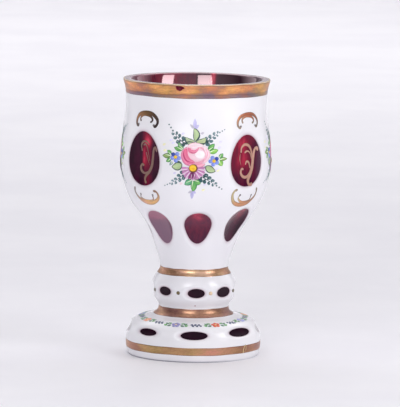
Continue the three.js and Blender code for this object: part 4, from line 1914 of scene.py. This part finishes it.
@dataclass
class FootGarland:
    """Small flowers with leaves and dark sprigs in a ring on the foot's shoulder."""

    carving: Carving
    height: float = 18.75
    sway: float = 0.5
    count: int = 9
    first: float = -17.2
    blooms: tuple[Inks, ...] = (
        ("8f8cc4", "b4b0dc", "7c78b4"), ("e4553a", "f08a68", "d0442e"),
        ("9aa0de", "c0c4f2", "858bd0"), ("ee8f68", "f7b898", "e07c54"),
    )
    green: Inks = ("5fa861", "8cc877", "468f56")
    navy: Inks = ("3f4a68", "566482", "46526e")

    def build(self, material: bpy.types.Material) -> None:
        """Paints each flower, its leaves and the sprig that follows it."""
        p = Painting("enamel_foot_garland", self.carving, 90)
        pitch = 360.0 / self.count
        for k in range(self.count):
            turn = self.first + k * pitch + p.random.uniform(-0.8, 0.8)
            self._aim(p, turn)
            for side in (-1, 1):
                for x, y, lean, dark in (
                    (3.5, 1.15, 0.6, 0.1), (3.4, -0.95, -0.5, 0.5),
                    (5.4, -0.7, 0.35, 0.0), (5.0, 0.7, 0.7, 0.4),
                ):
                    leaf = [(side * (x - 1.0), y - lean), (side * (x + 1.0), y + lean)]
                    inks = mixed(self.green, self.navy, dark)
                    p.stroke(leaf, 0.7, Brush.LEAF, inks, **SMALL)
            signed = k - self.count if 2 * k > self.count else k
            self._flower(p, self.blooms[signed % len(self.blooms)])
            self._aim(p, turn + pitch / 2)
            self._sprig(p)
        p.finish(material, "painted_enamel")

    def _aim(self, p: Painting, turn: float) -> None:
        """Sets the next motif on the ring, whose height sways: h - s cos 2a."""
        p.aim(turn, self.height - self.sway * math.cos(math.radians(2 * turn)))

    def _flower(self, p: Painting, inks: Inks) -> None:
        """Sets five round petals and a pale heart."""
        for k in range(5):
            spot = toward(90.0 + 72.0 * k + p.random.uniform(-8, 8)) * (1.45, 1.2)
            p.dab(spot, (1.0, 0.9), inks, lift=0.05 + 0.006 * k, along=8)
        p.dab((0.0, 0.0), (0.6, 0.5), ("f8dc9c", "fbe9c4", "f0c070"), lift=0.12, along=7)

    def _sprig(self, p: Painting) -> None:
        """Sets a short stem with crossed leaflets."""
        stem = [(-3.3, 0.15), (0.0, -0.1), (3.3, 0.1)]
        p.stroke(stem, 0.24, Brush.LEAF, self.navy, **SMALL)
        for x, rise in (
            (-2.2, 1.3), (-1.5, -1.3), (-0.3, 1.4), (0.5, -1.3), (1.4, 1.3), (2.2, -1.0)
        ):
            x += p.random.uniform(-0.15, 0.15)
            p.stroke([(x - 0.5, 0.0), (x + 0.6, rise)], 0.58, Brush.LEAF, self.navy, **SMALL)


@dataclass
class WindowGilding:
    """Gilt scrollwork over, under and inside one window."""

    carving: Carving
    number: int
    turn: float
    height: float = 99.9
    # the scrolls over the windows of the vase's left side are painted darker as shade, those of its
    # right lighter as lit
    over_left_shaded: Inks = (
        "55484a", "7a6254", "b98358", "8a6742", "5a4438", "42343a", "4a3b38", "4e3f3a",
    )
    over_right_lit: Inks = (
        "b79f86", "948070", "c48866", "c87355", "a56a52", "716254", "8c7d66", "8c7263",
    )
    under_left: Inks = (
        "8d8186", "7d7a7c", "b59684", "dfa884", "e6b877", "d2a47c", "97755f", "8a6d66", "a98a74",
    )
    under_right: Inks = (
        "9a8478", "cbbd92", "d2c092", "dc9c72", "cf9068", "a67a60", "806a5a", "6e7260", "9d8468",
    )
    grey: Inks = ("6f6a72", "85807f", "7a7476")

    def build(self, gilding: bpy.types.Material, worn: bpy.types.Material) -> None:
        """Paints the double scrolls on the white and the scroll in the ruby."""
        outer = Painting(f"gilt_scrolls_{self.number}", self.carving, 60 + self.number)
        outer.aim(self.turn, self.height)
        right = math.sin(math.radians(self.turn)) > 0
        # each side takes its own inks: darker as painted shade on the left, lighter as lit on the
        # right
        over = self.over_right_lit if right else self.over_left_shaded
        under = self.under_right if right else self.under_left
        hook = -15.9 if right else -16.6
        under_path = [
            (-5.6, -12.9), (-7.6, -13.6), (-8.4, -16.4), (-6.4, -20.0), (-1.6, -21.6),
            (4.6, -20.8), (8.8, -17.8), (9.6, -14.9), (8.6, -12.6),
        ] if right else [
            (-7.0, -12.9), (-8.3, -15.0), (-7.6, -17.6), (-4.8, -19.9), (-0.4, -21.1),
            (4.2, -20.9), (8.0, -19.0), (9.2, -16.8), (8.2, -14.6), (6.0, -14.2),
        ]
        for path, half, brush, inks in (
            ([(-4.2, 19.2), (-5.2, 18.3), (-6.3, 19.7), (-5.9, 22.1), (-3.8, 24.1), (0.4, 25.0),
              (4.8, 24.7), (7.9, 22.7), (8.8, 20.6), (7.6, 18.5), (6.2, 19.2)],
             0.95 if right else 1.15, Brush.SCROLL, over),
            ([(-2.5, 20.6), (-3.3, 21.4), (-2.8, 22.9), (-0.2, 24.0), (3.6, 23.5), (5.4, 22.0),
              (4.9, 20.7), (3.8, 20.5)], 0.74, Brush.SCROLL, over),
            (under_path, 1.2, Brush.CRESCENT, under),
            ([(-3.4, hook), (-4.0, hook - 2.0), (-0.6, -20.1), (4.8, -19.4), (5.5, -16.5)], 0.72,
             Brush.CRESCENT, under),
        ):
            outer.stroke(path, half, brush, inks, 0.03, 0.09, 10, 48)
        for x, y in ((-4.4, 19.0), (6.4, 19.0), (-3.4, hook), (5.5, -16.5)):
            outer.dab((x, y), (0.6, 0.55), self.grey, lift=0.09, thick=0.1)
        outer.finish(gilding, "fired_gilding")
        inner = Painting(f"gilt_window_scroll_{self.number}", self.carving, 70 + self.number)
        inner.aim(self.turn, self.height)
        strokes, inks = self._right_scroll() if right else self._left_scroll()
        for path, half, brush in strokes:
            inner.stroke(path, half, brush, inks, 0.02, 0.07, 8, 36)
        inner.finish(worn, "fired_gilding")

    @staticmethod
    def _right_scroll() -> tuple[list, Inks]:
        """Lists the strokes inside a window on the right, with their colours, painted lighter as
        lit.
        """
        return [
            ([(9.0, 5.9), (7.9, 7.8), (6.4, 6.4), (5.7, 2.4), (5.0, -2.4), (3.3, -6.3),
              (2.0, -8.6), (2.3, -10.6), (3.9, -11.2), (4.7, -9.9)], 1.12, Brush.SCROLL),
            ([(-3.4, 5.6), (-3.2, 8.2), (-1.0, 9.8), (2.2, 9.0), (4.3, 6.0), (5.3, 0.6)], 0.8,
             Brush.SCROLL),
            ([(-0.8, 5.6), (1.2, 6.4), (3.4, 5.2), (5.0, 1.0)], 0.6, Brush.TAPER),
            ([(0.1, -0.6), (0.9, 1.0), (2.6, 0.4), (3.6, -2.6)], 0.62, Brush.SCROLL),
            ([(-1.2, -3.0), (-2.8, -2.7), (-3.4, -4.8), (-1.6, -6.8), (1.2, -6.9), (3.7, -4.4),
              (4.5, -1.0)], 0.86, Brush.SCROLL),
            ([(-3.9, 5.6), (-4.2, 2.4), (-3.2, -0.9)], 0.22, Brush.LEAF),
        ], ("d8a898", "cf9c88", "b98878", "9c7a68")

    @staticmethod
    def _left_scroll() -> tuple[list, Inks]:
        """Lists the strokes inside a window on the left, with their colours, painted darker as
        shaded.
        """
        return [
            ([(8.9, 5.6), (8.0, 8.0), (6.6, 7.0), (5.9, 2.6), (5.2, -1.4), (3.4, -4.6), (1.2, -6.6),
              (0.2, -8.4), (0.5, -9.8), (1.5, -10.9)], 1.0, Brush.SCROLL),
            ([(2.9, -4.9), (-0.2, -5.8), (-2.6, -4.7), (-3.3, -2.6), (-2.0, -1.2), (-0.9, -2.1)],
             0.85, Brush.SCROLL),
            ([(-2.3, 5.4), (-2.9, 8.4), (-1.4, 10.4), (1.2, 10.6), (3.0, 9.0)], 0.62, Brush.SCROLL),
            ([(-1.4, 8.6), (0.2, 9.2), (1.6, 7.6), (2.6, 4.0), (3.6, 0.4)], 0.5, Brush.TAPER),
            ([(0.6, 5.2), (1.6, 2.6), (3.4, -1.4)], 0.4, Brush.TAPER),
        ], ("8c6a66", "85685c", "94705e", "7a5c50")


@dataclass
class KnopDots:
    """Raised gilt drops between the knop's cuts."""

    carving: Carving
    count: int = 8
    height: float = 33.3
    turn: float = 23.5
    radius: float = 0.95
    # the inks follow how each drop looks from the front: the first, where a lamp's highlight falls,
    # pale as a painted highlight, and the two at the sides grey as painted dark reflection
    inks: tuple[Inks, ...] = (
        ("f2dcc0", "ecd2b0", "cfac86"), ("8e8a7c", "807b6e", "6c685e"),
        ("8c7550", "7d6a4c", "64563c"), ("b8986c", "a88a5c", "86704a"),
        ("9c8350", "8c7550", "6c5c40"), ("c8a880", "b3955f", "8c7550"),
        ("8e8a7c", "807b6e", "6c685e"), ("7d6e4e", "6c6048", "544a38"),
    )

    def build(self, gilding: bpy.types.Material) -> None:
        """Builds one drop for each drop of the frame."""
        for k in range(self.count):
            drop = Painting(f"knop_gilt_drop_{k + 1}", self.carving, 80 + k)
            drop.aim(self.turn + 360.0 * k / self.count, self.height)
            size, inks = (self.radius, self.radius), self.inks[k % len(self.inks)]
            drop.dab((0.0, 0.0), size, inks, lift=0.05, thick=0.42, around=20, along=15)
            drop.finish(gilding, "fired_gilding", f"knop_gilt_dot_{k + 1}")


@dataclass
class AgeMarks:
    """Small marks of use: a looped scratch in the foot's gilding and a ruby speck on the knop."""

    foot: Carving
    knop: Carving

    def build(self, gilding: bpy.types.Material, enamel: bpy.types.Material) -> None:
        """Builds both marks."""
        loop = Painting("foot_gilding_scratch", self.foot, 95)
        loop.aim(50.0, 5.4)
        path = [
            (-1.1, -1.9), (-1.25, -0.3), (-0.6, 1.5), (0.4, 2.1), (0.8, 0.9), (0.3, -0.7),
            (-0.7, -1.5),
        ]
        for half, inks, lift in (
            (0.5, ("7a543c", "6b4a34", "6b4a34"), 0.12), (0.3, ("f6dca8", "f0d09a", "e6c48a"), 0.16)
        ):
            loop.stroke(path, half, Brush.TAPER, inks, lift, 0.03, 6, 24)
        loop.finish(gilding, "fired_gilding")
        speck = Painting("knop_ruby_speck", self.knop, 96)
        speck.aim(2.3, 26.7)
        speck.dab((0.0, 0.0), (0.42, 0.26), ("8c2438", "7a2438", "a04858"))
        speck.finish(enamel, "painted_enamel")


# --- Studio


@dataclass
class Studio:
    """A pale sweep, two tall softboxes, an overhead one and the camera, in metres."""

    camera_at: tuple[float, float, float] = (0.0, -2.150, 0.333)
    camera_to: tuple[float, float, float] = (0.0025, 0.0, 0.07645)
    lens: float = 378.1
    roll: float = 0.85
    away: float = 0.66
    sweep_half: float = 3.2
    sweep_depth: float = 2.4
    sweep_bend: float = 1.2
    sweep_top: float = 3.4

    def build(self) -> None:
        """Sets up everything that isn't part of the vase."""
        self._sweep()
        self._softbox("softbox_front", turn=-16.0, width=0.34, watts=1.14)
        self._softbox("softbox_side", turn=58.0, width=0.28, watts=1.02)
        self._light("softbox_low", (0.6, -0.44, 0.105), (0.0, 0.0, 0.105), (0.16, 0.06), 0.05)
        self._light("softbox_over", (0.0, 0.6, 2.4), (0.0, 0.3, 0.0), (3.0, 3.0), 11.2)
        self._light("softbox_back", (0.0, 2.2, 1.8), (0.0, 2.0, 0.0), (3.4, 1.5), 19.0)
        self._world()
        self._camera()
        scene = bpy.context.scene
        scene.view_settings.view_transform = "Standard"

    def _sweep(self) -> None:
        """Carries the sweep's profile sideways: flat, a quarter circle, then upright."""
        bend, half = self.sweep_bend, self.sweep_half
        turn = np.linspace(0.0, math.pi / 2, 25)
        flat = np.array([[-half, 0.0], [-1.0, 0.0], [0.0, 0.0], [1.0, 0.0]])
        curve = np.stack([self.sweep_depth + bend * np.sin(turn), bend - bend * np.cos(turn)], 1)
        wall = np.array([[self.sweep_depth + bend, self.sweep_top]])
        profile = np.concatenate([flat, curve, wall])
        across = np.linspace(-half, half, 9)
        grid = np.stack(np.broadcast_arrays(across[None], profile[:, :1], profile[:, 1:]), -1)
        index = np.arange(grid[..., 0].size).reshape(grid.shape[:2])
        quads = np.stack([index[:-1, :-1], index[:-1, 1:], index[1:, 1:], index[1:, :-1]], -1)
        mesh = bpy.data.meshes.new("studio_sweep")
        mesh.from_pydata(grid.reshape(-1, 3).tolist(), [], quads.reshape(-1, 4).tolist())
        mesh.shade_smooth()
        mesh.materials.append(SweepPaper().material())
        placed("studio_sweep", mesh)

    def _light(
        self,
        name: str,
        place: Sequence[float],
        aim: Sequence[float],
        size: Point,
        watts: float,
    ) -> None:
        """Hangs a rectangular light that points at a place."""
        lamp = bpy.data.lights.new(name, "AREA")
        lamp.shape = "RECTANGLE"
        lamp.size, lamp.size_y = size
        lamp.energy = watts
        lamp.spread = math.radians(120.0)
        lamp.color = (1.0, 0.985, 0.99)
        obj = placed(name, lamp)
        obj.matrix_world = self._look(np.array(place), np.array(aim), 0.0)
        obj.visible_camera = False

    def _softbox(
        self,
        name: str,
        turn: float,
        width: float,
        watts: float,
        height: float = 0.42,
        low: float = 0.21,
    ) -> None:
        """Stands a softbox round the vase at a turn, its lower edge at a height."""
        angle = math.radians(turn)
        x, y = self.away * math.sin(angle), -self.away * math.cos(angle)
        middle = low + height / 2
        self._light(name, (x, y, middle), (0.0, 0.0, middle), (width, height), watts)

    def _world(self) -> None:
        """Sets the room's light by direction: half bright in front, dark aside, bright behind."""
        world = bpy.data.worlds.new("studio_room")
        world.use_nodes = True
        g = Graph("", world)
        way = g.node("ShaderNodeTexCoord", output="Generated")
        depth = g.node("ShaderNodeSeparateXYZ", None, {"Vector": way}, "Y") * 0.5 + 0.5
        level = depth.ramp([(0.0, (0.37,) * 3), (0.5, (0.05,) * 3), (0.85, (1.0,) * 3)])
        back = g.node(
            "ShaderNodeBackground", None, {"Color": level * (0.96, 0.96, 1.0), "Strength": 1.4}, 0
        )
        g.node("ShaderNodeOutputWorld", None, {"Surface": back}, None)
        bpy.context.scene.world = world

    @staticmethod
    def _look(place: Array, aim: Array, roll: float) -> Matrix:
        """Gives the matrix of something at a place that looks along its own -Z at an aim."""
        ahead = (aim - place) / np.linalg.norm(aim - place)
        guide = np.array([0.0, 0.0, 1.0]) if abs(ahead[2]) < 0.99 else np.array([0.0, 1.0, 0.0])
        right = np.cross(ahead, guide)
        right /= np.linalg.norm(right)
        up = np.cross(right, ahead)
        lean = math.radians(roll)
        tilted = right * math.cos(lean) + up * math.sin(lean)
        upright = up * math.cos(lean) - right * math.sin(lean)
        columns = np.stack([tilted, upright, -ahead, place], 1)
        return Matrix([*columns.tolist(), [0.0, 0.0, 0.0, 1.0]])

    def _camera(self) -> None:
        """Makes the camera at the photograph's angle."""
        lens = bpy.data.cameras.new("camera")
        lens.lens = self.lens
        lens.sensor_width = 36.0
        lens.clip_end = 20.0
        camera = placed("camera", lens)
        camera.matrix_world = self._look(
            np.array(self.camera_at), np.array(self.camera_to), self.roll
        )
        bpy.context.scene.camera = camera


# The rubbed places and painted highlights of each band: turn, spread and rise, then how
# bright and how red.
FOOT_RUBS_AND_SHEEN = (
    RubAndSheen(-66.0, 12.0, 0.5, -0.05, 0.9), RubAndSheen(-36.0, 12.0, 0.5, 0.1, -0.7),
    RubAndSheen(-4.0, 16.0, 0.5, 0.0, -0.2), RubAndSheen(21.0, 13.0, 0.5, 0.26, 0.7),
    RubAndSheen(52.0, 10.0, 0.5, -0.25, 0.4), RubAndSheen(76.0, 14.0, 0.5, -0.3, 1.0),
    RubAndSheen(130.0, 20.0, 0.5, 0.1, -0.5), RubAndSheen(180.0, 16.0, 0.5, -0.1, 0.6),
    RubAndSheen(235.0, 22.0, 0.5, 0.1, 0.3),
)
WAIST_RUBS_AND_SHEEN = (RubAndSheen(-2.0, 36.0, 0.3, 0.24), RubAndSheen(-50.0, 16.0, 0.5, -0.08), RubAndSheen(170.0, 40.0, 0.5, 0.2))
COLLAR_RUBS_AND_SHEEN = (RubAndSheen(5.0, 32.0, 0.5, 0.34), RubAndSheen(-38.0, 14.0, 0.5, -0.08), RubAndSheen(160.0, 40.0, 0.5, 0.2))
RIM_RUBS_AND_SHEEN = (
    RubAndSheen(-66.0, 13.0, 0.6, 0.1, 0.7), RubAndSheen(-46.0, 8.0, 0.45, -0.24, 0.4),
    RubAndSheen(-27.0, 9.0, 0.6, 0.06, -0.3), RubAndSheen(-16.0, 6.0, 0.9, -0.1, 0.1),
    RubAndSheen(-6.0, 9.0, 0.5, 0.22, 0.2), RubAndSheen(4.0, 6.0, 0.8, -0.06, -0.2),
    RubAndSheen(10.0, 7.0, 0.2, -0.2, 0.8), RubAndSheen(27.0, 12.0, 0.45, 0.26, 0.1),
    RubAndSheen(43.0, 9.0, 0.6, 0.0, 0.6), RubAndSheen(62.0, 11.0, 0.7, 0.1, -0.9),
    RubAndSheen(110.0, 16.0, 0.5, 0.16), RubAndSheen(150.0, 12.0, 0.4, -0.16, 0.5),
    RubAndSheen(205.0, 18.0, 0.6, 0.14, -0.4), RubAndSheen(250.0, 14.0, 0.5, -0.16, 0.4),
)
GILDING_TURN = 44.5  # of the first window's scrolls
SPRAY_TURN = -1.9  # of the first spray
SPRAY_SLIPS = (0.0, 3.0, 0.0, -3.5)  # of each spray from its even place


def main() -> None:
    """Builds the vase on the frame and the studio round it."""
    logging.basicConfig(level=logging.INFO, format="%(message)s")
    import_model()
    outline = Outline.from_frame()
    milk, ruby = MilkGlass().material(), RubyGlass().material()
    rim_gold = FiredGilding("rim_gilding", ("8f8088", "b98a70", "dda06c", "ffc683"), 9.0)
    collar_gold = FiredGilding("collar_gilding", ("8c6c5c", "ab8168", "caa082", "f0ccb2"), 12.0)
    waist_gold = FiredGilding("waist_gilding", ("745250", "916a62", "b08672", "d8ac90"), 12.0)
    foot_gold = FiredGilding("foot_gilding", ("98735e", "aa8264", "c29c76", "dea68a"), 11.0)
    painted_gold = FiredGilding("painted_gold", patch=5.0, metal=0.5).material()
    worn_gold = FiredGilding("worn_gold", patch=4.0, metal=0.25).material()
    enamel = EnamelPaint().material()

    bowl, knop, foot = Bowl(outline), Knop(outline), Foot(outline)
    for part in (bowl, knop, foot):
        part.build(milk, ruby)
    for name, node, gold, rest in (
        ("foot_gilding", "foot_gilt_band", foot_gold, {"rubs_and_sheen": FOOT_RUBS_AND_SHEEN}),
        ("lower_waist_gilding", "lower_waist_gilt_band", waist_gold,
         {"rubs_and_sheen": WAIST_RUBS_AND_SHEEN, "spill": 0.5}),
        ("upper_waist_gilding", "upper_waist_gilt_band", collar_gold,
         {"rubs_and_sheen": COLLAR_RUBS_AND_SHEEN, "spill": 0.45}),
        ("rim_gilding", "rim_gilt_band", rim_gold,
         {"rubs_and_sheen": RIM_RUBS_AND_SHEEN, "proud": 0.14, "bead": 1.9, "chip": bowl.carving.chip}),
    ):
        GiltBand(name, node, outline, gold, **rest).build()
    KnopDots(knop.gather.carving).build(painted_gold)
    for k in range(bowl.window.count):
        turn = k * 360.0 / bowl.window.count
        scrolls = WindowGilding(bowl.carving, k + 1, GILDING_TURN + turn)
        scrolls.build(painted_gold, worn_gold)
        slip = SPRAY_SLIPS[k % len(SPRAY_SLIPS)]
        FlowerSpray(bowl.carving, k + 1, SPRAY_TURN + turn + slip).build(enamel)
    FootGarland(foot.gather.carving).build(enamel)
    AgeMarks(foot.gather.carving, knop.gather.carving).build(painted_gold, enamel)
    Studio().build()


if __name__ == "__main__":
    main()
